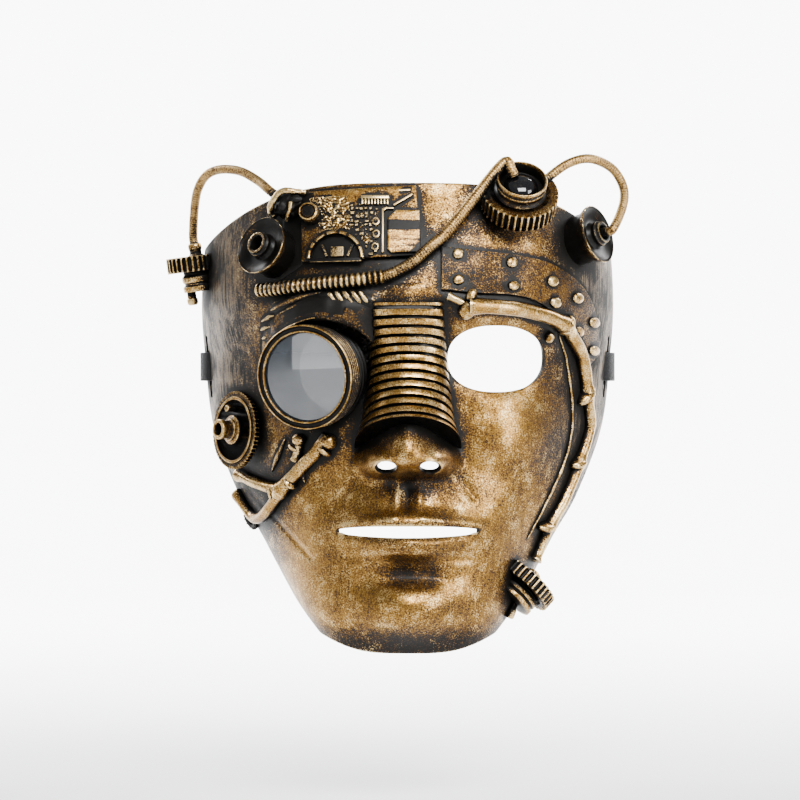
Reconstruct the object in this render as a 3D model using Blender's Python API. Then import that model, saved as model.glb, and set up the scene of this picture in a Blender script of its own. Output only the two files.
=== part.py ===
"""A steampunk face mask: a moulded shell with a goggle, bellows, gears, hoses and pipes on it.

Metres, +Z up. The face looks toward -Y and +X is at the viewer's right. The origin is inside the bridge
of the nose, at eye height, where the mask sits on its wearer.
"""

import math
from collections import namedtuple

import bmesh
import bpy
from mathutils import Matrix, Vector

# Shell
HALF_WIDTH = 0.088
TOP_HEIGHT = 0.0704
CHIN_DROP = 0.1215
RIM_DEPTH = 0.080
PROFILE_DEPTH = 0.012
NOSE_RISE = 0.024
NOSE_HALF = 0.0225
RELIEF = 0.006
WALL = 0.0018
SEAT_GAP = 0.0003
TOP_FALL = 0.35
CHIN_LIFT = 0.06
COLUMNS = 24
ROWS = 28

# Openings
EYE_WIDTH = 0.040
EYE_HEIGHT = 0.027
MOUTH_WIDTH = 0.058
MOUTH_HEIGHT = 0.0046
NOSTRIL_WIDTH = 0.0088
NOSTRIL_HEIGHT = 0.0052

# Nose bellows
RIBS = 13
BELLOWS_TOP_WIDTH = 0.0288
BELLOWS_FOOT_WIDTH = 0.0404
BELLOWS_RISE = 0.0062
GROOVE = 0.0018
BELLOWS_ARCH = 0.0135

# Goggle
LENS_RADIUS = 0.0194
LENS_THICKNESS = 0.0015
BARREL_WALL = 0.0018
BARREL_LENGTH = 0.016
THREAD = 0.0009
THREADS = 3
BEZEL_WALL = 0.0013
BEZEL_LENGTH = 0.0072
BEZEL_LIP = 0.0010
HOOD_THICKNESS = 0.0036

# Forehead panel
PANEL = 0.0026
CHIP = 0.0014
BOSS_RADIUS = 0.0038
BOSS_HEIGHT = 0.0042
ARCH_RADIUS = 0.011
ARCH_BAND = 0.0016
ARCH_HEIGHT = 0.0028
COMB_PINS = 9
COMB_WIDTH = 0.0112
COMB_HEIGHT = 0.0016
PIN_LENGTH = 0.0034

# Rivet plate
PLATE = 0.0015
RIVET_RADIUS = 0.0023
RIVET_RISE = 0.0015

# Hoses and pipes
HOSE_RADIUS = 0.0019
LONG_HOSE_RADIUS = 0.00225
COIL_RADIUS = 0.0029
COIL_GROOVE = 0.0006
COIL_RIBS = 18
PIPE_RADIUS = 0.0029
KNOB_RADIUS = 0.0068

# Flanges
FLANGE_RADIUS = 0.0122
FLANGE_STAND = 0.0036
FLANGE_STEM = 0.84
HUB_RADIUS = 0.0045
HUB_LENGTH = 0.0052
HUB_BORE = 0.0031

# Gears
CUP_GEAR_RADIUS = 0.0158
CUP_GEAR_FACE = 0.008
CUP_GEAR_TEETH = 38
CUP_RADIUS = 0.0103
CUP_WALL = 0.0017
CUP_DEPTH = 0.0066
DOME_RADIUS = 0.0064
TEMPLE_GEAR_RADIUS = 0.010
TEMPLE_GEAR_FACE = 0.0065
TEMPLE_GEAR_TEETH = 26
TEMPLE_DRUM_RADIUS = 0.0067
TEMPLE_DRUM_LENGTH = 0.008
TEMPLE_CAP_LENGTH = 0.0052
TEMPLE_PIN_RADIUS = 0.0019
TEMPLE_PIN_LENGTH = 0.006
TEMPLE_CAP_SIDE = 0.28
TEMPLE_DRUM_SIDE = 0.24
TEMPLE_PIN_SIDE = -0.12
JAW_GEAR_RADIUS = 0.0162
JAW_GEAR_FACE = 0.0024
JAW_GEAR_TEETH = 56
JAW_HUB_RADIUS = 0.0042
JAW_HUB_LENGTH = 0.0076
CHIN_GEAR_RADIUS = 0.0134
CHIN_GEAR_FACE = 0.0056
CHIN_GEAR_TEETH = 32
CHIN_DRUM_RADIUS = 0.0094
CHIN_DRUM_LENGTH = 0.006
CHIN_PIN_RADIUS = 0.0018
CHIN_PIN_LENGTH = 0.0105
CHIN_PIN_LIFT = 0.6
NUT_RADIUS = 0.0029
NUT_LENGTH = 0.0036
SMALL_GEAR_RADIUS = 0.0042
SMALL_GEAR_FACE = 0.0035
SMALL_GEAR_TEETH = 12
TOOTH = 0.0016

# Strap
STRAP_WIDTH = 0.012
STRAP_THICKNESS = 0.0012
STRAP_REACH = 0.165
STRAP_DROOP = 0.036
SLOT_HEIGHT = 0.026
SLOT_WIDTH = 0.0034
SLOT_INSET = 0.010
STRAP_LEVEL = -0.004

Look = namedtuple("Look", "colour metallic roughness")
BRONZE = Look((0.33, 0.21, 0.08), 0.75, 0.42)
OLD_GOLD = Look((0.46, 0.31, 0.13), 0.8, 0.38)
DARK_BRONZE = Look((0.12, 0.085, 0.05), 0.6, 0.5)
BLACK = Look((0.012, 0.011, 0.010), 0.0, 0.25)
ELASTIC = Look((0.015, 0.015, 0.016), 0.0, 0.85)
CLEAR = Look((0.75, 0.78, 0.80), 0.0, 0.06)

# Face sections from the chin rim to the top edge: height as a share of CHIN_DROP below the eyes and of
# TOP_HEIGHT above them, half width of HALF_WIDTH, front of PROFILE_DEPTH, side rim of RIM_DEPTH.
Section = namedtuple("Section", "up width front rim power")
SECTIONS = (
    Section(-1.00, 0.345, 0.75, 0.30, 2.2),
    Section(-0.86, 0.50, -0.05, 0.46, 2.0),
    Section(-0.73, 0.61, -0.05, 0.60, 2.0),
    Section(-0.615, 0.70, -0.10, 0.71, 2.0),
    Section(-0.484, 0.81, 0.08, 0.825, 2.0),
    Section(-0.246, 0.94, 0.35, 0.96, 2.0),
    Section(0.00, 0.983, 0.30, 1.01, 2.1),
    Section(0.31, 1.00, -0.35, 0.985, 2.3),
    Section(0.64, 0.982, 0.05, 0.91, 2.4),
    Section(1.00, 0.935, 0.90, 0.82, 2.4),
)
SIDE_REACH = 0.985

# Nose ridge: rise as a share of NOSE_RISE, half width of NOSE_HALF.
Ridge = namedtuple("Ridge", "up rise half")
NOSE = (
    Ridge(-0.440, 0.00, 0.90),
    Ridge(-0.410, 0.16, 0.96),
    Ridge(-0.385, 0.62, 1.02),
    Ridge(-0.354, 0.93, 1.02),
    Ridge(-0.313, 0.98, 0.94),
    Ridge(-0.247, 0.84, 0.78),
    Ridge(-0.130, 0.50, 0.56),
    Ridge(-0.020, 0.22, 0.44),
    Ridge(0.100, 0.15, 0.45),
    Ridge(0.400, 0.04, 0.50),
)

# Soft forms of the face: half sizes as shares of HALF_WIDTH, rise of RELIEF. Those off the middle are paired.
Form = namedtuple("Form", "across up half_across half_up rise")
FORMS = (
    Form(0.36, 0.30, 0.34, 0.10, 0.45),
    Form(0.41, -0.01, 0.32, 0.215, -1.00),
    Form(0.52, -0.27, 0.30, 0.23, 0.70),
    Form(0.59, -0.62, 0.23, 0.30, -0.40),
    Form(0.00, -0.585, 0.41, 0.27, 0.90),
    Form(0.00, -0.552, 0.31, 0.075, 0.50),
    Form(0.00, -0.638, 0.27, 0.085, 0.60),
    Form(0.00, -0.73, 0.25, 0.09, -0.55),
    Form(0.00, -0.855, 0.31, 0.19, 1.00),
    Form(0.00, -0.47, 0.05, 0.09, -0.20),
    Form(0.148, -0.354, 0.095, 0.09, 0.80),
)

# Places on the shell: across as a share of HALF_WIDTH, up of TOP_HEIGHT or CHIN_DROP, ahead in metres
# toward the viewer, and the direction that the piece points.
Seat = namedtuple("Seat", "across up ahead axis")
GOGGLE = Seat(-0.385, -0.058, 0.0, (-0.42, -0.90, -0.10))
SCREW_BOSS = Seat(-0.436, 0.795, 0.0, (-0.22, -0.95, 0.2))
HALF_RING = Seat(-0.322, 0.540, 0.0, (-0.12, -0.98, 0.12))
KNOB = Seat(-0.556, 0.873, 0.0045, (-0.4, -0.9, 0.2))
FLANGE_LEFT = Seat(-0.642, 0.610, 0.004, (-0.62, -0.72, 0.33))
FLANGE_RIGHT = Seat(0.838, 0.693, 0.006, (0.82, -0.51, 0.26))
CUP_GEAR = Seat(0.514, 0.910, 0.008, (0.10, -0.72, 0.68))
JAW_GEAR = Seat(-0.813, -0.253, 0.006, (-0.81, -0.585, 0.05))
CHIN_GEAR = Seat(0.553, -0.775, 0.006, (0.66, 0.25, 0.71))
SMALL_GEAR = Seat(-0.742, -0.564, 0.003, (-0.75, -0.45, -0.48))
TEMPLE = Seat(-1.043, 0.558, 0.0, (-0.13, -0.05, 0.99))
TEMPLE_BACK = 0.76

# Panel corners, from the top left round with the clock
Corner = namedtuple("Corner", "across up")
PANEL_CORNERS = (Corner(-0.487, 0.936), Corner(0.037, 0.973), Corner(0.064, 0.562), Corner(-0.480, 0.531))
CHIP_CORNERS = (Corner(-0.093, 0.815), Corner(0.052, 0.815), Corner(0.055, 0.575), Corner(-0.093, 0.570))
COMB = Corner(-0.150, 0.875)

# Rivet plate: its upper and lower edge, from the bellows round to the temple
Band = namedtuple("Band", "across_top up_top across_foot up_foot")
PLATE_EDGES = (
    Band(0.152, 0.62, 0.152, 0.370),
    Band(0.30, 0.60, 0.30, 0.350),
    Band(0.50, 0.575, 0.49, 0.340),
    Band(0.66, 0.53, 0.61, 0.300),
    Band(0.79, 0.43, 0.695, 0.215),
    Band(0.865, 0.30, 0.765, 0.110),
    Band(0.895, 0.14, 0.82, 0.010),
    Band(0.905, 0.02, 0.85, -0.030),
)
RIVETS = (
    Corner(0.227, 0.575),
    Corner(0.229, 0.425),
    Corner(0.471, 0.530),
    Corner(0.477, 0.395),
    Corner(0.660, 0.430),
    Corner(0.672, 0.310),
    Corner(0.780, 0.340),
    Corner(0.865, 0.205),
    Corner(0.786, 0.150),
    Corner(0.868, 0.040),
)

# Pipes run from knuckle to knuckle. Radii are shares of PIPE_RADIUS.
Knuckle = namedtuple("Knuckle", "name across up radius")
KNUCKLES = (
    Knuckle("brow_knuckle", 0.275, 0.285, 1.35),
    Knuckle("corner_knuckle", 0.726, 0.188, 1.5),
    Knuckle("temple_knuckle", 0.838, -0.133, 1.45),
    Knuckle("cheek_knuckle", 0.800, -0.365, 1.4),
    Knuckle("jaw_knuckle", 0.652, -0.583, 1.5),
    Knuckle("cheek_elbow", -0.583, -0.454, 1.25),
)
Pipe = namedtuple("Pipe", "name radius ends route")
PIPES = (
    Pipe("brow_stub", 0.85, ("brow_knuckle",), (Corner(0.185, 0.335), Corner(0.275, 0.285))),
    Pipe(
        "brow_pipe",
        1.0,
        ("brow_knuckle", "corner_knuckle"),
        (Corner(0.275, 0.285), Corner(0.433, 0.282), Corner(0.60, 0.250), Corner(0.726, 0.188)),
    ),
    Pipe(
        "temple_pipe",
        0.96,
        ("corner_knuckle", "temple_knuckle"),
        (Corner(0.726, 0.188), Corner(0.805, 0.02), Corner(0.838, -0.133)),
    ),
    Pipe(
        "cheek_pipe",
        0.84,
        ("temple_knuckle", "cheek_knuckle"),
        (Corner(0.838, -0.133), Corner(0.855, -0.24), Corner(0.800, -0.365)),
    ),
    Pipe(
        "jaw_pipe",
        0.84,
        ("cheek_knuckle", "jaw_knuckle"),
        (Corner(0.800, -0.365), Corner(0.735, -0.48), Corner(0.652, -0.583)),
    ),
    Pipe(
        "chin_pipe",
        0.76,
        ("jaw_knuckle",),
        (Corner(0.652, -0.583), Corner(0.615, -0.650), Corner(0.588, -0.695)),
    ),
    Pipe(
        "goggle_pipe",
        0.92,
        ("cheek_elbow",),
        (Corner(-0.361, -0.277), Corner(-0.47, -0.36), Corner(-0.583, -0.454)),
    ),
    Pipe("cheek_plug", 0.66, (), (Corner(-0.495, -0.275), Corner(-0.512, -0.350))),
    Pipe(
        "jaw_strut",
        0.78,
        ("cheek_elbow",),
        (Corner(-0.583, -0.454), Corner(-0.69, -0.435), Corner(-0.79, -0.405)),
    ),
    Pipe(
        "jaw_loop",
        0.78,
        ("cheek_elbow",),
        (Corner(-0.800, -0.475), Corner(-0.716, -0.552), Corner(-0.645, -0.520), Corner(-0.583, -0.454)),
    ),
)

# Middle of the pin below the chin gear
CHIN_PIN = Corner(0.482, -0.856)

# Hose routes. On the shell the third share is the height over it, of the hose's own radius; in the air
# it is the distance back, of RIM_DEPTH.
Stop = namedtuple("Stop", "across up third")
LEFT_ROUTE = (
    Stop(-1.016, 0.900, 0.650),
    Stop(-0.995, 1.000, 0.575),
    Stop(-0.950, 1.074, 0.500),
    Stop(-0.880, 1.100, 0.425),
    Stop(-0.785, 1.082, 0.330),
    Stop(-0.700, 1.020, 0.240),
    Stop(-0.640, 0.955, 0.160),
    Stop(-0.556, 0.873, 0.090),
)
RIGHT_ROUTE = (
    Stop(0.600, 0.970, 0.150),
    Stop(0.670, 1.050, 0.150),
    Stop(0.754, 1.120, 0.170),
    Stop(0.851, 1.146, 0.215),
    Stop(0.955, 1.097, 0.300),
    Stop(1.012, 0.988, 0.350),
    Stop(1.010, 0.879, 0.370),
)
# The long hose leads out of the cup by these shares of the cup's radius.
LONG_LEAD_SIDE = 1.034
LONG_LEAD_RISE = 0.388
LONG_ROUTE = (
    Stop(0.285, 0.850, 3.9),
    Stop(0.175, 0.684, 2.3),
    Stop(0.100, 0.600, 2.2),
    Stop(0.023, 0.520, 1.7),
    Stop(-0.060, 0.465, 1.2),
    Stop(-0.119, 0.440, 1.05),
)
COIL_ROUTE = (
    Stop(-0.175, 0.434, 0.95),
    Stop(-0.396, 0.400, 0.75),
    Stop(-0.560, 0.385, 0.75),
    Stop(-0.679, 0.381, 0.75),
)

BELLOWS_UP = 0.302
BELLOWS_DOWN = -0.315
EYE = Corner(0.410, -0.012)
MOUTH_UP = -0.588
NOSTRIL = Corner(0.102, -0.373)
BACK = 0.030


def rounded(rows, key):
    """The row of a table at a height between its rows, through which a smooth curve is drawn."""
    if key <= rows[0][0]:
        return rows[0][1:]
    if key >= rows[-1][0]:
        return rows[-1][1:]
    last = len(rows) - 1
    low = max(i for i in range(last) if rows[i][0] <= key)
    here, there = rows[low], rows[low + 1]
    span = there[0] - here[0]
    t = (key - here[0]) / span

    def slope(i, column):
        before, after = rows[max(i - 1, 0)], rows[min(i + 1, last)]
        return (after[column] - before[column]) / (after[0] - before[0])

    values = []
    for column in range(1, len(here)):
        start = slope(low, column) * span
        end = slope(low + 1, column) * span
        value = (2 * t**3 - 3 * t * t + 1) * here[column] + (t**3 - 2 * t * t + t) * start
        values.append(value + (3 * t * t - 2 * t**3) * there[column] + (t**3 - t * t) * end)
    return values


def up_share(z):
    return z / TOP_HEIGHT if z > 0 else z / CHIN_DROP


def height(up):
    return up * TOP_HEIGHT if up > 0 else up * CHIN_DROP


def half_width(z):
    return HALF_WIDTH * rounded(SECTIONS, up_share(z))[0]


def nose_rise(x, z):
    up = up_share(z)
    if not NOSE[0].up < up < NOSE[-1].up:
        return 0.0
    rise, half = rounded(NOSE, up)
    off = abs(x) / (half * NOSE_HALF)
    return 0.0 if off >= 1 else max(0.0, rise) * NOSE_RISE * (1 - off * off) ** 1.5


def form_rise(x, z):
    total = 0.0
    for form in FORMS:
        off_x = (abs(x) / HALF_WIDTH - form.across) / form.half_across
        off_z = (z - height(form.up)) / (form.half_up * HALF_WIDTH)
        off = off_x * off_x + off_z * off_z
        if off < 1:
            total += form.rise * RELIEF * (1 - off) ** 2
    return total


def raw_face(x, z):
    width, front, rim, power = rounded(SECTIONS, up_share(z))
    off = SIDE_REACH * min(abs(x) / (HALF_WIDTH * width), 1.0)
    full = 1 - (1 - SIDE_REACH**power) ** (1 / power)
    sweep = (1 - (1 - off**power) ** (1 / power)) / full
    flat = PROFILE_DEPTH * front + (RIM_DEPTH * rim - PROFILE_DEPTH * front) * sweep
    return flat - nose_rise(x, z) - form_rise(x, z)


FACE_SHIFT = -(raw_face(0.0, 0.0) + WALL)


def face(x, z):
    """The depth of the shell's outer surface, with the inside of the nose bridge at zero."""
    return raw_face(x, z) + FACE_SHIFT


def face_normal(x, z):
    step = HALF_WIDTH * 0.01
    slope_x = (face(x + step, z) - face(x - step, z)) / (2 * step)
    slope_z = (face(x, z + step) - face(x, z - step)) / (2 * step)
    return Vector((slope_x, -1.0, slope_z)).normalized()


def over(across, up, lift):
    """A point at a height over the shell, square to it."""
    x = across * HALF_WIDTH
    z = height(up)
    return Vector((x, face(x, z), z)) + face_normal(x, z) * lift


def ahead(seat):
    """A seat's point, which lies ahead of the shell toward the viewer."""
    x = seat.across * HALF_WIDTH
    z = height(seat.up)
    return Vector((x, face(x, z) - seat.ahead, z))


def aimed(point, axis):
    """The placement whose +Z runs along an axis."""
    turn = Vector(axis).to_track_quat("Z", "Y")
    return Matrix.Translation(point) @ turn.to_matrix().to_4x4()


def curve_through(stops, per_span):
    """Rows along a smooth curve through the chosen rows."""
    rows = []
    last = len(stops) - 1
    for i in range(last):
        ends = [stops[max(i - 1, 0)], stops[i], stops[i + 1], stops[min(i + 2, last)]]
        before, start, end, after = (Vector(row) for row in ends)
        for step in range(per_span):
            t = step / per_span
            bend = (2 * before - 5 * start + 4 * end - after) * t * t
            turn = (3 * start - before - 3 * end + after) * t**3
            rows.append(start + ((end - before) * t + bend + turn) / 2)
    rows.append(Vector(stops[last]))
    return rows


def evened(path, steps):
    """The same curve, with its points at even distances."""
    lengths = [0.0]
    for here, there in zip(path, path[1:]):
        lengths.append(lengths[-1] + (there - here).length)
    points = []
    at = 0
    for step in range(steps + 1):
        target = lengths[-1] * step / steps
        while at < len(path) - 2 and lengths[at + 1] < target:
            at += 1
        share = (target - lengths[at]) / (lengths[at + 1] - lengths[at])
        points.append(path[at].lerp(path[at + 1], min(share, 1.0)))
    return points


def finish(name, look):
    material = bpy.data.materials.new(name)
    material.use_nodes = True
    shader = material.node_tree.nodes["Principled BSDF"]
    shader.inputs["Base Color"].default_value = (*look.colour, 1.0)
    shader.inputs["Metallic"].default_value = look.metallic
    shader.inputs["Roughness"].default_value = look.roughness
    material.diffuse_color = (*look.colour, 1.0)
    return material


def add_piece(name, bm, look, at=None):
    """An object from a bmesh, with its own material, parented to the mask's empty."""
    bmesh.ops.recalc_face_normals(bm, faces=bm.faces)
    mesh = bpy.data.meshes.new(name)
    bm.to_mesh(mesh)
    bm.free()
    piece = bpy.data.objects.new(name, mesh)
    bpy.context.collection.objects.link(piece)
    piece.parent = bpy.data.objects["mask"]
    piece.matrix_world = at or Matrix.Identity(4)
    mesh.materials.append(finish(name, look))
    mesh.shade_smooth()
    mesh.set_sharp_from_angle(angle=math.radians(35))
    return piece


def add_guide(name, bm, at=None):
    guide = add_piece(name, bm, BLACK, at)
    guide.hide_render = True
    guide.display_type = "WIRE"
    return guide


def cut(piece, cutter):
    modifier = piece.modifiers.new(cutter.name, "BOOLEAN")
    modifier.operation = "DIFFERENCE"
    modifier.solver = "EXACT"
    modifier.object = cutter


def fuse(piece, guide):
    """Joins a guide's shape to a piece, as one solid."""
    modifier = piece.modifiers.new(guide.name, "BOOLEAN")
    modifier.operation = "UNION"
    modifier.solver = "EXACT"
    modifier.object = guide


def make_room(piece, *neighbours):
    """Cuts a piece back from its neighbours, so that it lies SEAT_GAP from each."""
    for neighbour in neighbours:
        name = "room_" + neighbour.name
        room = bpy.data.objects.get(name)
        if room is None:
            bm = bmesh.new()
            bm.from_mesh(neighbour.data)
            moves = {vert: vert.normal * SEAT_GAP * min(vert.calc_shell_factor(), 2.0) for vert in bm.verts}
            for vert, move in moves.items():
                vert.co += move
            room = add_guide(name, bm, neighbour.matrix_world.copy())
        cut(piece, room)


def turned(outline, sides):
    """A solid turned about Z from (radius, height) points; one that leaves the axis open is a ring."""
    bm = bmesh.new()
    verts = [bm.verts.new((radius, 0.0, along)) for radius, along in outline]
    edges = [bm.edges.new(pair) for pair in zip(verts, verts[1:])]
    if outline[0][0] > 0:
        edges.append(bm.edges.new((verts[-1], verts[0])))
    bmesh.ops.spin(
        bm,
        geom=verts + edges,
        cent=(0.0, 0.0, 0.0),
        axis=(0.0, 0.0, 1.0),
        angle=math.tau,
        steps=sides,
        use_merge=True,
    )
    bmesh.ops.remove_doubles(bm, verts=bm.verts, dist=1e-6)
    return bm


def toothed(radius, tooth, thickness, teeth):
    """A gear blank about Z: a root and a tip for each tooth, drawn up to its thickness."""
    bm = bmesh.new()
    bmesh.ops.create_circle(bm, cap_ends=True, radius=radius, segments=2 * teeth)
    for place, vert in enumerate(bm.verts):
        if place % 2 == 0:
            vert.co *= (radius - tooth) / radius
    blank = bmesh.ops.extrude_face_region(bm, geom=bm.faces[:])
    tops = [item for item in blank["geom"] if isinstance(item, bmesh.types.BMVert)]
    bmesh.ops.translate(bm, verts=tops, vec=(0.0, 0.0, thickness / 2))
    lows = [vert for vert in bm.verts if vert not in set(tops)]
    bmesh.ops.translate(bm, verts=lows, vec=(0.0, 0.0, -thickness / 2))
    return bm


def swept(path, radii, sides):
    """A round tube through a path, closed at both ends."""
    bm = bmesh.new()
    rings = []
    last = len(path) - 1
    side = Vector((0.0, 0.0, 1.0))
    for i, (point, radius) in enumerate(zip(path, radii)):
        along = (path[min(i + 1, last)] - path[max(i - 1, 0)]).normalized()
        side = (side - along * side.dot(along)).normalized()
        frame = Matrix((side, along.cross(side), along)).transposed().to_4x4()
        ring = bmesh.ops.create_circle(
            bm,
            cap_ends=i in (0, last),
            radius=radius,
            segments=sides,
            matrix=Matrix.Translation(point) @ frame,
        )
        rings.append({edge for vert in ring["verts"] for edge in vert.link_edges})
    for low, high in zip(rings, rings[1:]):
        bmesh.ops.bridge_loops(bm, edges=list(low | high))
    return bm


def sheet_over(places, lift, sink):
    """A closed patch that follows the shell: rows of (across, up) places, from a lift down to a sink."""
    bm = bmesh.new()
    rows = len(places)
    columns = len(places[0])
    made = bmesh.ops.create_grid(bm, x_segments=columns - 1, y_segments=rows - 1, size=1.0)
    for vert in made["verts"]:
        column = round((vert.co.x + 1) / 2 * (columns - 1))
        row = round((vert.co.y + 1) / 2 * (rows - 1))
        vert.co = over(*places[row][column], lift)
    back = bmesh.ops.extrude_face_region(bm, geom=bm.faces[:])
    for item in back["geom"]:
        if isinstance(item, bmesh.types.BMVert):
            x, z = item.co.x, item.co.z
            item.co += face_normal(x, z) * (sink - lift)
    return bm


def patch(corners, lift, sink, columns, rows):
    """A four-cornered patch over the shell."""
    top_left, top_right, foot_right, foot_left = (Vector(corner) for corner in corners)
    places = []
    for row in range(rows + 1):
        down = row / rows
        left = top_left.lerp(foot_left, down)
        right = top_right.lerp(foot_right, down)
        places.append([tuple(left.lerp(right, column / columns)) for column in range(columns + 1)])
    return sheet_over(places, lift, sink)


def face_grid():
    """The shell's outer surface as a grid, finer near the nose, the mouth and the rims."""
    bm = bmesh.new()
    bmesh.ops.create_grid(bm, x_segments=COLUMNS, y_segments=ROWS, size=1.0)
    for vert in bm.verts:
        u = vert.co.x
        side = u - 0.050 * math.sin(math.pi * u) - 0.045 * math.sin(math.tau * u)
        rise = ((vert.co.y + 1) / 2) ** 1.3
        top = TOP_HEIGHT * (1 - TOP_FALL * abs(side) ** 3.5)
        foot = -CHIN_DROP * (1 - CHIN_LIFT * abs(side) ** 4)
        z = foot + (top - foot) * rise
        x = side * half_width(z)
        vert.co = (x, face(x, z), z)
    bmesh.ops.recalc_face_normals(bm, faces=bm.faces)
    if sum(item.normal.y for item in bm.faces) > 0:
        bmesh.ops.reverse_faces(bm, faces=bm.faces)
    bmesh.ops.triangulate(bm, faces=bm.faces, quad_method="SHORT_EDGE")
    return bm


def oval(width, depth, sides, power=2.0):
    """A flat oval in the XZ plane, which becomes a cutter when it is drawn back."""
    points = []
    for i in range(sides):
        turn = math.tau * i / sides
        cos, sin = math.cos(turn), math.sin(turn)
        x = math.copysign(abs(cos) ** (2 / power), cos) * width / 2
        z = math.copysign(abs(sin) ** (2 / power), sin) * depth / 2
        points.append(Vector((x, 0.0, z)))
    return points


def drilled(name, points, centre, reach):
    """A guide that cuts a hole of a flat outline straight through the shell, front to back."""
    bm = bmesh.new()
    verts = [bm.verts.new(centre + point - Vector((0.0, reach, 0.0))) for point in points]
    hole = bm.faces.new(verts)
    made = bmesh.ops.extrude_face_region(bm, geom=[hole])
    ends = [item for item in made["geom"] if isinstance(item, bmesh.types.BMVert)]
    bmesh.ops.translate(bm, verts=ends, vec=(0.0, 2 * reach, 0.0))
    return add_guide(name, bm)


def slot_depth():
    """How far back the strap slots lie."""
    z = STRAP_LEVEL
    return face(half_width(z), z) - SLOT_INSET


def slot_place():
    """Half the width of the shell at the strap slots."""
    z = STRAP_LEVEL
    low, high = 0.0, half_width(z)
    for _ in range(40):
        middle = (low + high) / 2
        if face(middle, z) < slot_depth():
            low = middle
        else:
            high = middle
    return low


def build_shell():
    shell = add_piece("mask_shell", face_grid(), BRONZE)
    wall = shell.modifiers.new("wall", "SOLIDIFY")
    wall.thickness = WALL
    wall.offset = -1.0
    wall.use_even_offset = True
    x = EYE.across * HALF_WIDTH
    z = height(EYE.up)
    eye = drilled("eye_hole", oval(EYE_WIDTH, EYE_HEIGHT, 20, 2.3), Vector((x, 0.0, z)), RIM_DEPTH)
    mouth_z = height(MOUTH_UP)
    outline = oval(MOUTH_WIDTH, MOUTH_HEIGHT, 16, 2.6)
    mouth = drilled("mouth_slot", outline, Vector((0.0, 0.0, mouth_z)), RIM_DEPTH)
    cutters = [eye, mouth]
    for side in (-1, 1):
        place = Vector((side * NOSTRIL.across * HALF_WIDTH, 0.0, height(NOSTRIL.up)))
        label = "left" if side < 0 else "right"
        outline = oval(NOSTRIL_WIDTH, NOSTRIL_HEIGHT, 10)
        cutters.append(drilled("nostril_" + label, outline, place, RIM_DEPTH))
        bm = bmesh.new()
        bmesh.ops.create_cube(bm, size=1.0)
        bmesh.ops.scale(bm, verts=bm.verts, vec=(6 * SLOT_INSET, SLOT_WIDTH, SLOT_HEIGHT))
        spot = Vector((side * slot_place(), slot_depth(), STRAP_LEVEL))
        bmesh.ops.translate(bm, verts=bm.verts, vec=spot)
        cutters.append(add_guide("strap_slot_" + label, bm))
    bore = LENS_RADIUS - BARREL_WALL / 2
    socket = turned([(0.0, -BARREL_LENGTH - BACK), (bore, -BARREL_LENGTH - BACK), (bore, BACK), (0.0, BACK)], 20)
    cutters.append(add_guide("goggle_hole", socket, aimed(ahead(GOGGLE), GOGGLE.axis)))
    for cutter in cutters:
        cut(shell, cutter)
    return shell


def build_face_room():
    """The space that the shell fills, grown by the gap and carried back, which trims what sits on it."""
    bm = face_grid()
    moves = {vert: vert.normal * SEAT_GAP * min(vert.calc_shell_factor(), 2.0) for vert in bm.verts}
    rims = {vert for edge in bm.edges if edge.is_boundary for vert in edge.verts}
    middle = (height(1.0) + height(-1.0)) / 2
    for vert, move in moves.items():
        vert.co += move
    for vert in rims:
        edges = [edge for edge in vert.link_edges if edge.is_boundary]
        along = (edges[0].other_vert(vert).co - edges[1].other_vert(vert).co).normalized()
        out = along.cross(vert.normal).normalized()
        if out.dot(vert.co - Vector((0.0, vert.co.y, middle))) < 0:
            out = -out
        vert.co += Vector((out.x, 0.0, out.z)) * 2 * SEAT_GAP
    made = bmesh.ops.extrude_face_region(bm, geom=bm.faces[:])
    for item in made["geom"]:
        if isinstance(item, bmesh.types.BMVert):
            item.co.y = RIM_DEPTH + BACK
    return add_guide("face_room", bm)


def build_bellows(face_room):
    bm = bmesh.new()
    rings = []
    steps = 2 * RIBS
    for step in range(steps + 1):
        t = step / steps
        groove = GROOVE if step % 2 else 0.0
        flare = 0.0016 * max(0.0, (t - 0.86) / 0.14)
        z = height(BELLOWS_UP) + (height(BELLOWS_DOWN) - height(BELLOWS_UP)) * t
        width = BELLOWS_TOP_WIDTH + (BELLOWS_FOOT_WIDTH - BELLOWS_TOP_WIDTH) * t**1.3
        half = width / 2 - groove / 2 + flare
        arch = BELLOWS_ARCH * t**1.2
        base = face(half, z) + BELLOWS_RISE
        front = face(0.0, z + arch) - BELLOWS_RISE * (0.72 + 0.35 * t) + groove - flare
        verts = []
        for i in range(7):
            turn = math.pi * i / 6
            swell = math.sin(turn) ** 0.8
            y = base + (front - base) * swell
            verts.append(bm.verts.new((half * math.cos(turn), y, z + arch * swell)))
        edges = [bm.edges.new((verts[i], verts[(i + 1) % len(verts)])) for i in range(len(verts))]
        if step in (0, steps):
            bm.faces.new(verts)
        rings.append(edges)
    for low, high in zip(rings, rings[1:]):
        bmesh.ops.bridge_loops(bm, edges=low + high)
    bellows = add_piece("nose_bellows", bm, OLD_GOLD)
    cut(bellows, face_room)
    return bellows


def goggle_heights():
    """Heights along the goggle's axis: the barrel's front, the lens's back and front, the bezel's front."""
    barrel = BARREL_LENGTH
    lens_back = barrel + SEAT_GAP
    lens_front = lens_back + LENS_THICKNESS
    return barrel, lens_back, lens_front, lens_front + SEAT_GAP + BEZEL_LIP


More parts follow.
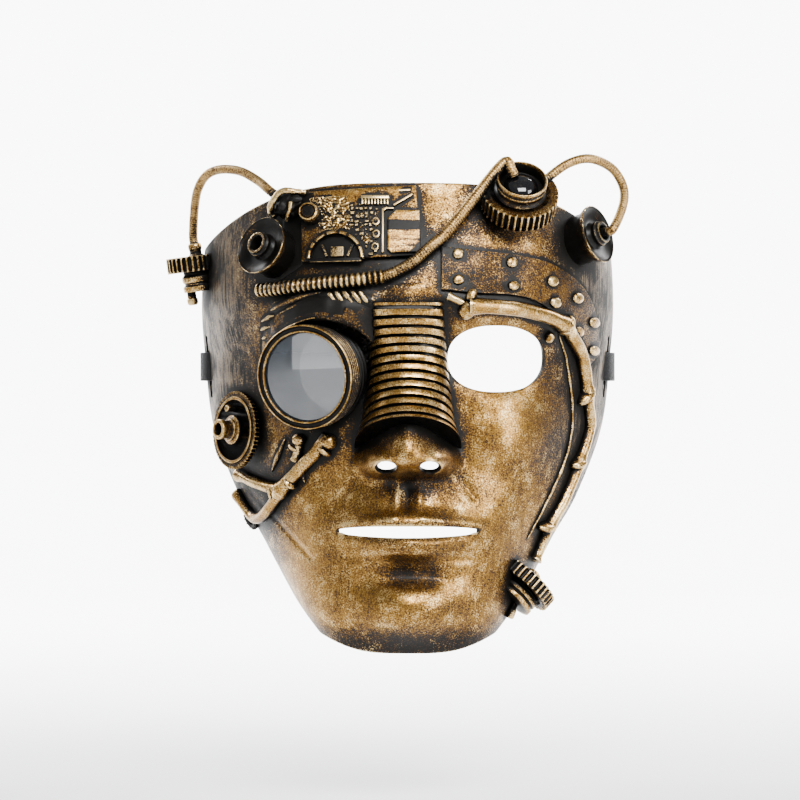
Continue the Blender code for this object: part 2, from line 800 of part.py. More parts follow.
def build_goggle(face_room, bellows):
    at = aimed(ahead(GOGGLE), GOGGLE.axis)
    barrel_front, lens_back, lens_front, bezel_front = goggle_heights()
    bore = LENS_RADIUS - BARREL_WALL
    outer = LENS_RADIUS + SEAT_GAP
    foot = -BARREL_LENGTH
    ring = bezel_front - BEZEL_LENGTH - SEAT_GAP
    outline = [(bore, barrel_front), (outer, barrel_front), (outer, ring)]
    pitch = (ring - 0.001) / THREADS
    for thread in range(THREADS):
        top = ring - thread * pitch
        outline += [(outer + THREAD, top - 0.3 * pitch), (outer, top - 0.8 * pitch)]
    outline += [(outer, foot), (bore, foot)]
    barrel = add_piece("goggle_barrel", turned(outline, 18), DARK_BRONZE, at)
    cut(barrel, face_room)
    lens = turned(disc(LENS_RADIUS, lens_back, lens_front), 20)
    add_piece("goggle_lens", lens, CLEAR, at)
    sleeve = outer + SEAT_GAP
    rim = sleeve + BEZEL_WALL
    mouth = LENS_RADIUS - BEZEL_LIP
    tail = bezel_front - BEZEL_LENGTH
    bezel = turned(
        [
            (mouth, bezel_front - BEZEL_LIP),
            (mouth, bezel_front),
            (rim - 0.4 * BEZEL_WALL, bezel_front),
            (rim, bezel_front - 0.3 * BEZEL_LENGTH),
            (rim, tail),
            (sleeve, tail),
            (sleeve, bezel_front - BEZEL_LIP),
        ],
        20,
    )
    bezel = add_piece("goggle_bezel", bezel, OLD_GOLD, at)
    make_room(barrel, bellows)
    clear = turned(disc(rim + SEAT_GAP, -BACK, bezel_front + BACK), 20)
    return barrel, bezel, add_guide("goggle_room", clear, at)


def build_hood(face_room, goggle_room, bellows):
    """The arched brow over the goggle, a bent bar round its barrel."""
    radius = LENS_RADIUS + HOOD_THICKNESS
    path = []
    for step in range(10):
        turn = math.radians(28 + 112 * step / 9)
        flat = Vector((math.cos(turn), 0.0, math.sin(turn))) * radius
        x = ahead(GOGGLE).x + flat.x
        z = ahead(GOGGLE).z + flat.z
        path.append(over(x / HALF_WIDTH, up_share(z), HOOD_THICKNESS * 0.75))
    radii = [HOOD_THICKNESS * (0.45 + 0.55 * math.sin(math.pi * i / 9)) for i in range(10)]
    hood = add_piece("goggle_hood", swept(path, radii, 7), BRONZE)
    cut(hood, face_room)
    cut(hood, goggle_room)
    make_room(hood, bellows)
    return hood


def build_panel(face_room):
    panel = add_piece("circuit_panel", patch(PANEL_CORNERS, PANEL, -BACK / 5, 6, 3), BRONZE)
    cut(panel, face_room)
    chip = add_piece("chip_plate", patch(CHIP_CORNERS, PANEL + CHIP, PANEL / 2, 3, 3), OLD_GOLD)
    make_room(chip, panel)
    at = aimed(over(SCREW_BOSS.across, SCREW_BOSS.up, PANEL), SCREW_BOSS.axis)
    outline = [
        (0.0, BOSS_HEIGHT - 0.001),
        (0.55 * BOSS_RADIUS, BOSS_HEIGHT - 0.001),
        (0.7 * BOSS_RADIUS, BOSS_HEIGHT),
        (BOSS_RADIUS, BOSS_HEIGHT - 0.0006),
        (BOSS_RADIUS, -PANEL / 2),
        (0.0, -PANEL / 2),
    ]
    boss = add_piece("screw_boss", turned(outline, 12), OLD_GOLD, at)
    make_room(boss, panel)
    cut(boss, face_room)
    arch = bmesh.new()
    rings = []
    base = over(HALF_RING.across, HALF_RING.up, 0.0)
    for radius in (ARCH_RADIUS, ARCH_RADIUS - ARCH_BAND):
        for lift in (PANEL + ARCH_HEIGHT, PANEL / 2):
            ring = []
            for step in range(11):
                turn = math.pi * step / 10
                x = base.x + radius * math.cos(turn)
                z = base.z + radius * math.sin(turn)
                ring.append(arch.verts.new(over(x / HALF_WIDTH, up_share(z), lift)))
            rings.append(ring)
    order = (rings[0], rings[2], rings[3], rings[1])
    for ring, following in zip(order, order[1:] + order[:1]):
        for step in range(10):
            arch.faces.new((ring[step], ring[step + 1], following[step + 1], following[step]))
    for end in (0, 10):
        arch.faces.new([ring[end] for ring in order])
    half_ring = add_piece("half_ring", arch, OLD_GOLD)
    make_room(half_ring, panel)
    comb = build_comb()
    make_room(comb, panel)
    return panel, chip, boss, half_ring, comb


def build_comb():
    """The comb of pins: a bar with a row of fingers, drawn as one outline over the panel."""
    half = COMB_WIDTH / 2 / HALF_WIDTH
    tall = PIN_LENGTH / TOP_HEIGHT
    places = []
    for row in (0.0, 0.4, 1.0):
        up = COMB.up + (0.5 - row) * tall
        places.append([(COMB.across - half + 2 * half * i / 4, up) for i in range(5)])
    bm = sheet_over(places, PANEL + COMB_HEIGHT, PANEL / 2)
    comb = add_piece("pin_comb", bm, OLD_GOLD)
    pitch = COMB_WIDTH / (COMB_PINS + 0.5)
    for pin in range(COMB_PINS):
        gap = bmesh.new()
        bmesh.ops.create_cube(gap, size=1.0)
        bmesh.ops.scale(gap, verts=gap.verts, vec=(pitch * 0.42, 4 * (PANEL + COMB_HEIGHT), 0.6 * PIN_LENGTH))
        across = COMB.across - half + (pin + 0.75) * pitch / HALF_WIDTH
        spot = over(across, COMB.up, PANEL) - Vector((0.0, 0.0, 0.36 * PIN_LENGTH))
        bmesh.ops.translate(gap, verts=gap.verts, vec=spot)
        cut(comb, add_guide("pin_gap_" + str(pin + 1), gap))
    return comb


def build_plate(face_room):
    """The riveted band over the brow, and its rivets."""
    edges = curve_through(PLATE_EDGES, 1)
    places = []
    for share in (0.0, 0.5, 1.0):
        row = []
        for across_top, up_top, across_foot, up_foot in (tuple(edge) for edge in edges):
            row.append((across_top + (across_foot - across_top) * share, up_top + (up_foot - up_top) * share))
        places.append(row)
    plate = add_piece("rivet_plate", sheet_over(places, PLATE, -BACK / 6), BRONZE)
    cut(plate, face_room)
    rivets = []
    for number, corner in enumerate(RIVETS, 1):
        point = over(corner.across, corner.up, PLATE)
        outline = [
            (0.0, RIVET_RISE),
            (0.7 * RIVET_RADIUS, 0.75 * RIVET_RISE),
            (RIVET_RADIUS, 0.0),
            (RIVET_RADIUS, -0.6 * PLATE),
            (0.0, -0.6 * PLATE),
        ]
        at = aimed(point, face_normal(point.x, point.z))
        rivet = add_piece("rivet_" + str(number), turned(outline, 7), OLD_GOLD, at)
        make_room(rivet, plate)
        rivets.append(rivet)
    return plate, rivets


def build_flange(name, seat, face_room):
    base = FLANGE_STAND
    rim = 0.0010
    outline = [
        (0.0, base),
        (HUB_BORE, base),
        (HUB_BORE, base + HUB_LENGTH),
        (HUB_RADIUS, base + HUB_LENGTH),
        (HUB_RADIUS, base + 0.25 * HUB_LENGTH),
        (0.62 * FLANGE_RADIUS, base + 0.4 * rim),
        (FLANGE_RADIUS, base + rim),
        (FLANGE_RADIUS, base - 0.6 * rim),
        (FLANGE_STEM * FLANGE_RADIUS, base - 2 * rim),
        (FLANGE_STEM * FLANGE_RADIUS, -BACK),
        (0.0, -BACK),
    ]
    flange = add_piece(name, turned(outline, 16), BRONZE, aimed(ahead(seat), seat.axis))
    cut(flange, face_room)
    return flange


def build_cup(face_room):
    at = aimed(ahead(CUP_GEAR), CUP_GEAR.axis)
    gear = add_piece("cup_gear", toothed(CUP_GEAR_RADIUS, TOOTH, CUP_GEAR_FACE, CUP_GEAR_TEETH), OLD_GOLD, at)
    cut(gear, face_room)
    floor = CUP_GEAR_FACE / 2 + SEAT_GAP
    top = floor + CUP_DEPTH
    inner = CUP_RADIUS - CUP_WALL
    outline = [
        (0.0, floor + 0.0012),
        (inner, floor + 0.0012),
        (inner, top - 0.0008),
        (inner + 0.3 * CUP_WALL, top),
        (CUP_RADIUS, top),
        (CUP_RADIUS, top - 0.0014),
        (CUP_RADIUS - 0.0006, top - 0.0022),
        (CUP_RADIUS - 0.0006, floor + 0.0012),
        (CUP_RADIUS + 0.0006, floor),
        (0.0, floor),
    ]
    cup = add_piece("lens_cup", turned(outline, 16), OLD_GOLD, at)
    seat = floor + 0.0012 + SEAT_GAP
    dome = [
        (0.0, seat + 0.62 * DOME_RADIUS),
        (0.4 * DOME_RADIUS, seat + 0.54 * DOME_RADIUS),
        (0.75 * DOME_RADIUS, seat + 0.34 * DOME_RADIUS),
        (DOME_RADIUS, seat + 0.06 * DOME_RADIUS),
        (DOME_RADIUS, seat),
        (0.0, seat),
    ]
    add_piece("cup_dome", turned(dome, 12), BLACK, at)
    return gear, cup


def disc(radius, low, high, lip=0.0):
    """The outline of a plain or a double-lipped drum about Z."""
    if not lip:
        return [(0.0, high), (radius, high), (radius, low), (0.0, low)]
    third = (high - low) / 3
    waist = radius - lip
    steps = [(0.0, high), (waist, high), (waist, high - third / 2), (radius, high - third)]
    steps += [(radius, high - 1.5 * third), (waist, high - 1.8 * third), (radius, low + third)]
    return steps + [(radius, low), (0.0, low)]


def build_temple(face_room):
    """The upright gear stack at the side of the head, above and below its gear."""
    x = TEMPLE.across * HALF_WIDTH
    point = Vector((x, TEMPLE_BACK * RIM_DEPTH, height(TEMPLE.up)))
    at = aimed(point, TEMPLE.axis)
    half = TEMPLE_GEAR_FACE / 2
    blank = toothed(TEMPLE_GEAR_RADIUS, TOOTH, TEMPLE_GEAR_FACE, TEMPLE_GEAR_TEETH)
    gear = add_piece("temple_gear", blank, OLD_GOLD, at)
    foot = half + SEAT_GAP
    cap_at = Matrix.Translation((TEMPLE_CAP_SIDE * TEMPLE_GEAR_RADIUS, 0.0, 0.0)) @ at
    cap = turned(disc(1.5 * HOSE_RADIUS, foot, foot + TEMPLE_CAP_LENGTH), 10)
    cap = add_piece("temple_cap", cap, OLD_GOLD, cap_at)
    low = -foot - TEMPLE_DRUM_LENGTH
    drum_at = Matrix.Translation((TEMPLE_DRUM_SIDE * TEMPLE_GEAR_RADIUS, 0.0, 0.0)) @ at
    blank = turned(disc(TEMPLE_DRUM_RADIUS, low, -foot, 0.0009), 14)
    drum = add_piece("temple_drum", blank, OLD_GOLD, drum_at)
    pin = turned(disc(TEMPLE_PIN_RADIUS, low - TEMPLE_PIN_LENGTH, low + TEMPLE_PIN_RADIUS), 8)
    pin_at = Matrix.Translation((TEMPLE_PIN_SIDE * TEMPLE_GEAR_RADIUS, 0.0, 0.0)) @ at
    fuse(drum, add_guide("temple_pin", pin, pin_at))
    make_room(cap, gear)
    make_room(drum, gear)
    for piece in (gear, drum, cap):
        cut(piece, face_room)
    return cap_at, foot + TEMPLE_CAP_LENGTH


def build_jaw_gear(face_room):
    at = aimed(ahead(JAW_GEAR), JAW_GEAR.axis)
    gear = add_piece("jaw_gear", toothed(JAW_GEAR_RADIUS, TOOTH, JAW_GEAR_FACE, JAW_GEAR_TEETH), OLD_GOLD, at)
    half = JAW_GEAR_FACE / 2 + SEAT_GAP
    top = half + JAW_HUB_LENGTH
    outline = [
        (0.0, top - 0.6 * JAW_HUB_LENGTH),
        (0.62 * JAW_HUB_RADIUS, top - 0.6 * JAW_HUB_LENGTH),
        (0.62 * JAW_HUB_RADIUS, top),
        (JAW_HUB_RADIUS, top),
        (JAW_HUB_RADIUS, half + 0.0016),
        (1.45 * JAW_HUB_RADIUS, half + 0.0008),
        (1.45 * JAW_HUB_RADIUS, half),
        (0.0, half),
    ]
    add_piece("jaw_hub", turned(outline, 14), OLD_GOLD, at)
    post = add_piece("jaw_post", turned(disc(2 * JAW_HUB_RADIUS, -BACK, -half), 14), DARK_BRONZE, at)
    cut(post, face_room)
    cut(gear, face_room)
    stud_at = at @ Matrix.Translation((0.0, 0.55 * JAW_GEAR_RADIUS, 0.0))
    stud = turned(disc(0.3 * JAW_HUB_RADIUS, 0.0, half + 0.5 * JAW_HUB_LENGTH), 8)
    fuse(gear, add_guide("jaw_stud", stud, stud_at))
    return gear, post


def build_chin_gear(face_room):
    at = aimed(ahead(CHIN_GEAR), CHIN_GEAR.axis)
    blank = toothed(CHIN_GEAR_RADIUS, TOOTH, CHIN_GEAR_FACE, CHIN_GEAR_TEETH)
    gear = add_piece("chin_gear", blank, OLD_GOLD, at)
    foot = CHIN_GEAR_FACE / 2 + SEAT_GAP
    nut = add_piece("chin_nut", turned(disc(NUT_RADIUS, foot, foot + NUT_LENGTH), 6), OLD_GOLD, at)
    low = -foot - CHIN_DRUM_LENGTH
    drum = add_piece("chin_drum", turned(disc(CHIN_DRUM_RADIUS, low, -foot, 0.0009), 16), OLD_GOLD, at)
    pin_at = aimed(over(CHIN_PIN.across, CHIN_PIN.up, CHIN_PIN_LIFT * CHIN_PIN_RADIUS), (-0.35, -0.1, -0.93))
    pin = turned(disc(CHIN_PIN_RADIUS, -0.6 * CHIN_PIN_LENGTH, 0.4 * CHIN_PIN_LENGTH), 8)
    chin_pin = add_piece("chin_pin", pin, OLD_GOLD, pin_at)
    make_room(chin_pin, drum)
    for piece in (gear, nut, drum, chin_pin):
        cut(piece, face_room)
    return gear, nut, drum


def build_small_gear(face_room):
    at = aimed(ahead(SMALL_GEAR), SMALL_GEAR.axis)
    blank = toothed(SMALL_GEAR_RADIUS, TOOTH / 1.6, SMALL_GEAR_FACE, SMALL_GEAR_TEETH)
    gear = add_piece("small_gear", blank, DARK_BRONZE, at)
    cut(gear, face_room)
    return gear


def build_pipes(face_room):
    """Pipes that lie half sunk in the shell, with a round knuckle where they meet."""
    knuckles = {}
    for knuckle in KNUCKLES:
        radius = knuckle.radius * PIPE_RADIUS
        bm = bmesh.new()
        bmesh.ops.create_uvsphere(bm, u_segments=8, v_segments=4, radius=radius)
        point = over(knuckle.across, knuckle.up, 0.45 * radius)
        ball = add_piece(knuckle.name, bm, OLD_GOLD, aimed(point, face_normal(point.x, point.z)))
        cut(ball, face_room)
        knuckles[knuckle.name] = ball
    pipes = {}
    for pipe in PIPES:
        radius = pipe.radius * PIPE_RADIUS
        stops = curve_through(pipe.route, 3)
        path = [over(across, up, 0.5 * radius) for across, up in stops]
        tube = add_piece(pipe.name, swept(path, [radius] * len(path), 6), OLD_GOLD)
        cut(tube, face_room)
        make_room(tube, *[knuckles[end] for end in pipe.ends])
        pipes[pipe.name] = tube
    return knuckles, pipes


def in_air(stop):
    return Vector((stop[0] * HALF_WIDTH, stop[2] * RIM_DEPTH, height(stop[1])))


def build_hoses(face_room, parts):
    """The four hoses, from the pieces that they leave to those that they enter."""
    knob_at = aimed(ahead(KNOB), KNOB.axis)
    bm = bmesh.new()
    bmesh.ops.create_uvsphere(bm, u_segments=12, v_segments=7, radius=KNOB_RADIUS)
    bmesh.ops.scale(bm, verts=bm.verts, vec=(1.0, 0.85, 0.8))
    knob = add_piece("hose_knob", bm, DARK_BRONZE, knob_at)
    cut(knob, face_room)
    make_room(knob, parts["panel"], parts["boss"], parts["flange_left"])

    at, top = parts["temple"]
    start = at @ Vector((0.0, 0.0, top + SEAT_GAP))
    lead = at @ Vector((0.0, 0.0, top + 2 * HOSE_RADIUS))
    stops = [start, lead] + [in_air(stop) for stop in LEFT_ROUTE[:-1]] + [knob_at.translation]
    path = evened(curve_through(stops, 6), 22)
    left = add_piece("hose_left", swept(path, [HOSE_RADIUS] * len(path), 6), BRONZE)
    make_room(left, knob)

    hub = aimed(ahead(FLANGE_RIGHT), FLANGE_RIGHT.axis)
    mouth = FLANGE_STAND + HUB_LENGTH
    finish_points = [
        hub @ Vector((0.0, 0.0, mouth + 2.2 * HOSE_RADIUS)),
        hub @ Vector((0.0, 0.0, mouth)),
        hub @ Vector((0.0, 0.0, FLANGE_STAND + SEAT_GAP)),
    ]
    path = evened(curve_through([in_air(stop) for stop in RIGHT_ROUTE] + finish_points, 6), 20)
    right = add_piece("hose_right", swept(path, [HOSE_RADIUS] * len(path), 6), BRONZE)
    make_room(right, parts["cup_gear"], parts["cup"])

    cup_at = aimed(ahead(CUP_GEAR), CUP_GEAR.axis)
    axis = Vector(CUP_GEAR.axis).normalized()
    left_of = (Vector((-1.0, 0.0, 0.0)) + axis * axis.x).normalized()
    out = left_of * 0.74 + left_of.cross(axis) * 0.67
    wall = cup_at @ Vector((0.0, 0.0, CUP_GEAR_FACE / 2 + CUP_DEPTH / 2))
    start = [wall + out * (CUP_RADIUS - 0.5 * CUP_WALL), wall + out * (CUP_RADIUS + 0.8 * LONG_HOSE_RADIUS)]
    start.append(wall + (left_of * LONG_LEAD_SIDE + left_of.cross(axis) * LONG_LEAD_RISE) * CUP_RADIUS)
    stops = start + [over(stop.across, stop.up, stop.third * LONG_HOSE_RADIUS) for stop in LONG_ROUTE]
    path = evened(curve_through(stops, 6), 18)
    long_hose = add_piece("hose_long", swept(path, [LONG_HOSE_RADIUS] * len(path), 6), BRONZE)
    cut(long_hose, face_room)
    make_room(long_hose, parts["panel"], parts["plate"], parts["cup_gear"], parts["cup"], parts["chip"])

    along = (path[-1] - path[-2]).normalized()
    start = [path[-1] + along * 2 * SEAT_GAP, path[-1] + along * COIL_RADIUS]
    rows = curve_through(COIL_ROUTE, 4)
    stops = start + [over(row[0], row[1], row[2] * COIL_RADIUS) for row in rows]
    path = evened(curve_through(stops, 4), 2 * COIL_RIBS)
    radii = [COIL_RADIUS - COIL_GROOVE * (i % 2) for i in range(len(path))]
    coil = add_piece("hose_coil", swept(path, radii, 6), OLD_GOLD)
    cut(coil, face_room)
    make_room(coil, parts["panel"], parts["half_ring"])
    return knob, left, right, long_hose, coil


def build_strap():
    """The elastic strap: through each slot, round the rim and in one loop behind the head."""
    z = STRAP_LEVEL
    rim_x = half_width(z)
    rim_y = face(rim_x, z)
    slot_x = slot_place()
    slot_y = slot_depth()
    clear = STRAP_THICKNESS / 2 + 2 * SEAT_GAP
    outside = clear + 0.0004
    inside = WALL + clear + 0.0006
    tail = rim_y + 0.010
    stops = [
        (rim_x - inside - 0.0006, tail),
        (rim_x - inside - 0.0004, rim_y - 0.001),
        (slot_x - inside - 0.0004, slot_y + 0.0028),
        (slot_x - WALL - 0.0008, slot_y + 0.0002),
        (slot_x + 0.0010, slot_y - 0.0002),
        (slot_x + outside + 0.0009, slot_y + 0.0018),
        (rim_x + outside + 0.0002, rim_y - 0.0015),
        (rim_x + outside, rim_y + 0.003),
        (rim_x - 0.0005, tail + 0.003),
    ]
    back = STRAP_REACH - tail - 0.003
    turns = 11
    half = []
    for step in range(1, turns + 1):
        turn = math.pi / 2 * step / turns
        half.append(((rim_x - 0.0005) * math.cos(turn), tail + 0.003 + back * math.sin(turn)))
    loop_front = tail + 0.003
    right = stops + half
    left = [(-x, y) for x, y in reversed(right[:-1])]
    middle = [Vector((x, y)) for x, y in right + left]
    bm = bmesh.new()
    last = len(middle) - 1
    rings = []
    for i, point in enumerate(middle):
        ahead_of = (middle[min(i + 1, last)] - point).normalized()
        behind = (point - middle[max(i - 1, 0)]).normalized()
        along = (ahead_of + behind).normalized()
        side = Vector((along.y, -along.x)) * STRAP_THICKNESS / 2
        bend = max(0.75, (ahead_of if i < last else behind).dot(along))
        side /= bend
        ring = []
        for share, rise in ((1, 0.5), (1, -0.5), (-1, -0.5), (-1, 0.5)):
            flat = point + side * share
            behind_rim = max(0.0, (point.y - loop_front) / back)
            drop = STRAP_DROOP * behind_rim**1.5
            ring.append(bm.verts.new((flat.x, flat.y, z - drop + rise * STRAP_WIDTH)))
        edges = [bm.edges.new((ring[k], ring[(k + 1) % 4])) for k in range(4)]
        if i in (0, last):
            bm.faces.new(ring)
        rings.append(edges)
    for low, high in zip(rings, rings[1:]):
        bmesh.ops.bridge_loops(bm, edges=low + high)
    return add_piece("head_strap", bm, ELASTIC)


def main():
    for obj in list(bpy.data.objects):
        bpy.data.objects.remove(obj, do_unlink=True)
    mask = bpy.data.objects.new("mask", None)
    bpy.context.collection.objects.link(mask)

    build_shell()
    face_room = build_face_room()
    bellows = build_bellows(face_room)
    barrel, bezel, goggle_room = build_goggle(face_room, bellows)
    build_hood(face_room, goggle_room, bellows)
    panel, chip, boss, half_ring, comb = build_panel(face_room)
    plate, rivets = build_plate(face_room)
    flange_left = build_flange("flange_left", FLANGE_LEFT, face_room)
    flange_right = build_flange("flange_right", FLANGE_RIGHT, face_room)
    cup_gear, cup = build_cup(face_room)
    temple = build_temple(face_room)
    jaw_gear, jaw_post = build_jaw_gear(face_room)
    chin_gear, nut, drum = build_chin_gear(face_room)
    small_gear = build_small_gear(face_room)
    knuckles, pipes = build_pipes(face_room)
    make_room(pipes["brow_stub"], plate, bellows)
    make_room(pipes["brow_pipe"], plate)
    make_room(pipes["temple_pipe"], plate)
    make_room(knuckles["corner_knuckle"], plate)
    make_room(knuckles["brow_knuckle"], plate)
    make_room(pipes["chin_pipe"], nut, chin_gear)
    make_room(pipes["goggle_pipe"], barrel)
    make_room(pipes["cheek_plug"], barrel, pipes["goggle_pipe"])
    make_room(pipes["jaw_strut"], jaw_gear, jaw_post)
    make_room(pipes["jaw_loop"], jaw_gear, pipes["jaw_strut"])
    make_room(small_gear, pipes["jaw_loop"])
    make_room(rivets[8], pipes["temple_pipe"])
    parts = {
        "panel": panel,
        "boss": boss,
        "chip": chip,
        "half_ring": half_ring,
        "plate": plate,
        "flange_left": flange_left,
        "cup_gear": cup_gear,
        "cup": cup,
        "temple": temple,
    }
    knob, left, right, long_hose, coil = build_hoses(face_room, parts)
    make_room(flange_left, coil)
    make_room(panel, cup_gear)
    build_strap()


main()
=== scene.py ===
"""The looks of a steampunk mask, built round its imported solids.

Metres, +Z up. The face looks toward -Y and +X is at the viewer's right.
"""

import math
import random
from collections import namedtuple

import bmesh
import bpy
from bpy.props import FloatProperty, FloatVectorProperty, IntProperty, PointerProperty
from mathutils import Matrix, Vector, noise
from mathutils.bvhtree import BVHTree


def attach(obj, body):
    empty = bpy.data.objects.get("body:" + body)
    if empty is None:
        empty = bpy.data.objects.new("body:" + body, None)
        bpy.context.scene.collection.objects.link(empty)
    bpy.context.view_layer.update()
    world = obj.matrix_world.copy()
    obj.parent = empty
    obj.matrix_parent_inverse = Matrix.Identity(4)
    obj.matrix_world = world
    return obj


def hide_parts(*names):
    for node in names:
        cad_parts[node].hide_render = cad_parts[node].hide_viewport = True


bl_info = {
    "name": "Steampunk mask",
    "version": (1, 0, 0),
    "blender": (4, 5, 0),
    "location": "3D View > Sidebar > Mask",
    "description": "Builds the mask's face, goggle, bellows, gears, hoses and pipes with their finishes",
    "category": "Add Mesh",
}

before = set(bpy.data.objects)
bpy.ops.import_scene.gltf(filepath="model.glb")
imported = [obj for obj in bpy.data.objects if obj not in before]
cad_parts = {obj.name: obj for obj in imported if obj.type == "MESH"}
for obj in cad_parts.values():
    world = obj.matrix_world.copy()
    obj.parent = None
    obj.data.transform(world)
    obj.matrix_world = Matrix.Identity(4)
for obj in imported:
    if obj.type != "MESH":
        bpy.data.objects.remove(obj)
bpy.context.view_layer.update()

# Face
HALF_WIDTH = 0.088
TOP_HEIGHT = 0.0704
CHIN_DROP = 0.1215
RIM_DEPTH = 0.080
PROFILE_DEPTH = 0.012
NOSE_RISE = 0.024
NOSE_HALF = 0.0225
RELIEF = 0.006
WALL = 0.0018
TOP_FALL = 0.35
CHIN_LIFT = 0.06
SIDE_REACH = 0.985

Section = namedtuple("Section", "up width front rim power")
SECTIONS = (
    Section(-1.00, 0.345, 0.75, 0.30, 2.2),
    Section(-0.86, 0.50, -0.05, 0.46, 2.0),
    Section(-0.73, 0.61, -0.05, 0.60, 2.0),
    Section(-0.615, 0.70, -0.10, 0.71, 2.0),
    Section(-0.484, 0.81, 0.08, 0.825, 2.0),
    Section(-0.246, 0.94, 0.35, 0.96, 2.0),
    Section(0.00, 0.983, 0.30, 1.01, 2.1),
    Section(0.31, 1.00, -0.35, 0.985, 2.3),
    Section(0.64, 0.982, 0.05, 0.91, 2.4),
    Section(1.00, 0.935, 0.90, 0.82, 2.4),
)
Ridge = namedtuple("Ridge", "up rise half")
NOSE = (
    Ridge(-0.440, 0.00, 0.90),
    Ridge(-0.410, 0.16, 0.96),
    Ridge(-0.385, 0.62, 1.02),
    Ridge(-0.354, 0.93, 1.02),
    Ridge(-0.313, 0.98, 0.94),
    Ridge(-0.247, 0.84, 0.78),
    Ridge(-0.130, 0.50, 0.56),
    Ridge(-0.020, 0.22, 0.44),
    Ridge(0.100, 0.15, 0.45),
    Ridge(0.400, 0.04, 0.50),
)
Form = namedtuple("Form", "across up half_across half_up rise")
FORMS = (
    Form(0.36, 0.30, 0.34, 0.10, 0.45),
    Form(0.41, -0.01, 0.32, 0.215, -1.00),
    Form(0.52, -0.27, 0.30, 0.23, 0.70),
    Form(0.59, -0.62, 0.23, 0.30, -0.40),
    Form(0.00, -0.585, 0.41, 0.27, 0.90),
    Form(0.00, -0.552, 0.31, 0.075, 0.50),
    Form(0.00, -0.638, 0.27, 0.085, 0.60),
    Form(0.00, -0.73, 0.25, 0.09, -0.55),
    Form(0.00, -0.855, 0.31, 0.19, 1.00),
    Form(0.00, -0.47, 0.05, 0.09, -0.20),
    Form(0.148, -0.354, 0.095, 0.09, 0.80),
)

# Fine relief of the moulding, in metres over the face: lines from one point to another with a half width
# and a rise, which is negative for a groove.
Line = namedtuple("Line", "x z to_x to_z half rise")
LINES = (
    Line(-0.053, 0.0205, -0.034, 0.0245, 0.0036, 0.0009),
    Line(-0.034, 0.0245, -0.014, 0.0215, 0.0036, 0.0009),
    Line(-0.066, -0.056, -0.040, -0.083, 0.0016, -0.0008),
    Line(-0.020, -0.0475, -0.026, -0.058, 0.0024, -0.0008),
    Line(0.020, -0.0475, 0.027, -0.058, 0.0024, -0.0008),
    Line(-0.0045, -0.051, -0.0050, -0.0615, 0.0020, 0.0007),
    Line(0.0045, -0.051, 0.0050, -0.0615, 0.0020, 0.0007),
    Line(0.0, -0.052, 0.0, -0.0615, 0.0022, -0.0008),
    Line(-0.030, -0.0690, -0.006, -0.0660, 0.0022, 0.0010),
    Line(0.030, -0.0690, 0.006, -0.0660, 0.0022, 0.0010),
    Line(-0.026, -0.0755, 0.026, -0.0755, 0.0030, 0.0009),
    Line(-0.024, -0.0825, 0.024, -0.0825, 0.0028, -0.0008),
)
# Raised folds laid on the moulding, with a bow to their middle
Fold = namedtuple("Fold", "x z to_x to_z half bow")
FOLDS = (
    Fold(-0.0560, 0.0185, -0.0330, 0.0255, 0.0011, 0.0012),
    Fold(-0.0545, 0.0160, -0.0300, 0.0232, 0.0008, 0.0016),
    Fold(-0.0330, 0.0262, -0.0285, 0.0205, 0.0010, 0.0),
    Fold(-0.0300, 0.0265, -0.0255, 0.0205, 0.0010, 0.0),
    Fold(-0.0270, 0.0268, -0.0222, 0.0207, 0.0010, 0.0),
    Fold(-0.0238, 0.0268, -0.0188, 0.0208, 0.0010, 0.0),
    Fold(-0.0206, 0.0264, -0.0160, 0.0208, 0.0009, 0.0),
    Fold(-0.0600, 0.0140, -0.0535, 0.0165, 0.0007, 0.0004),
    Fold(-0.0605, 0.0105, -0.0550, 0.0120, 0.0007, 0.0004),
    Fold(-0.0600, 0.0070, -0.0560, 0.0080, 0.0006, 0.0003),
    Fold(-0.0590, 0.0035, -0.0560, 0.0045, 0.0006, 0.0003),
    Fold(-0.0470, -0.0330, -0.0420, -0.0520, 0.0009, 0.0),
    Fold(-0.0500, -0.0340, -0.0560, -0.0480, 0.0008, 0.0),
)

# Places on the face: across as a share of HALF_WIDTH, up of TOP_HEIGHT or CHIN_DROP, ahead in metres
Seat = namedtuple("Seat", "across up ahead axis")
GOGGLE = Seat(-0.385, -0.058, 0.0, (-0.42, -0.90, -0.10))
SCREW_BOSS = Seat(-0.436, 0.795, 0.0, (-0.22, -0.95, 0.2))
HALF_RING = Seat(-0.322, 0.540, 0.0, (-0.12, -0.98, 0.12))
KNOB = Seat(-0.556, 0.873, 0.0045, (-0.4, -0.9, 0.2))
FLANGE_LEFT = Seat(-0.642, 0.610, 0.004, (-0.62, -0.72, 0.33))
FLANGE_RIGHT = Seat(0.838, 0.693, 0.006, (0.82, -0.51, 0.26))
CUP_GEAR = Seat(0.514, 0.910, 0.008, (0.10, -0.72, 0.68))
JAW_GEAR = Seat(-0.813, -0.253, 0.006, (-0.81, -0.585, 0.05))
CHIN_GEAR = Seat(0.553, -0.775, 0.006, (0.66, 0.25, 0.71))
SMALL_GEAR = Seat(-0.742, -0.564, 0.003, (-0.75, -0.45, -0.48))
TEMPLE = Seat(-1.043, 0.558, 0.0, (-0.13, -0.05, 0.99))
TEMPLE_BACK = 0.76

Corner = namedtuple("Corner", "across up")
PANEL_CORNERS = (Corner(-0.487, 0.936), Corner(0.037, 0.973), Corner(0.064, 0.562), Corner(-0.480, 0.531))
CHIP_CORNERS = (Corner(-0.093, 0.815), Corner(0.052, 0.815), Corner(0.055, 0.575), Corner(-0.093, 0.570))
COMB = Corner(-0.150, 0.875)
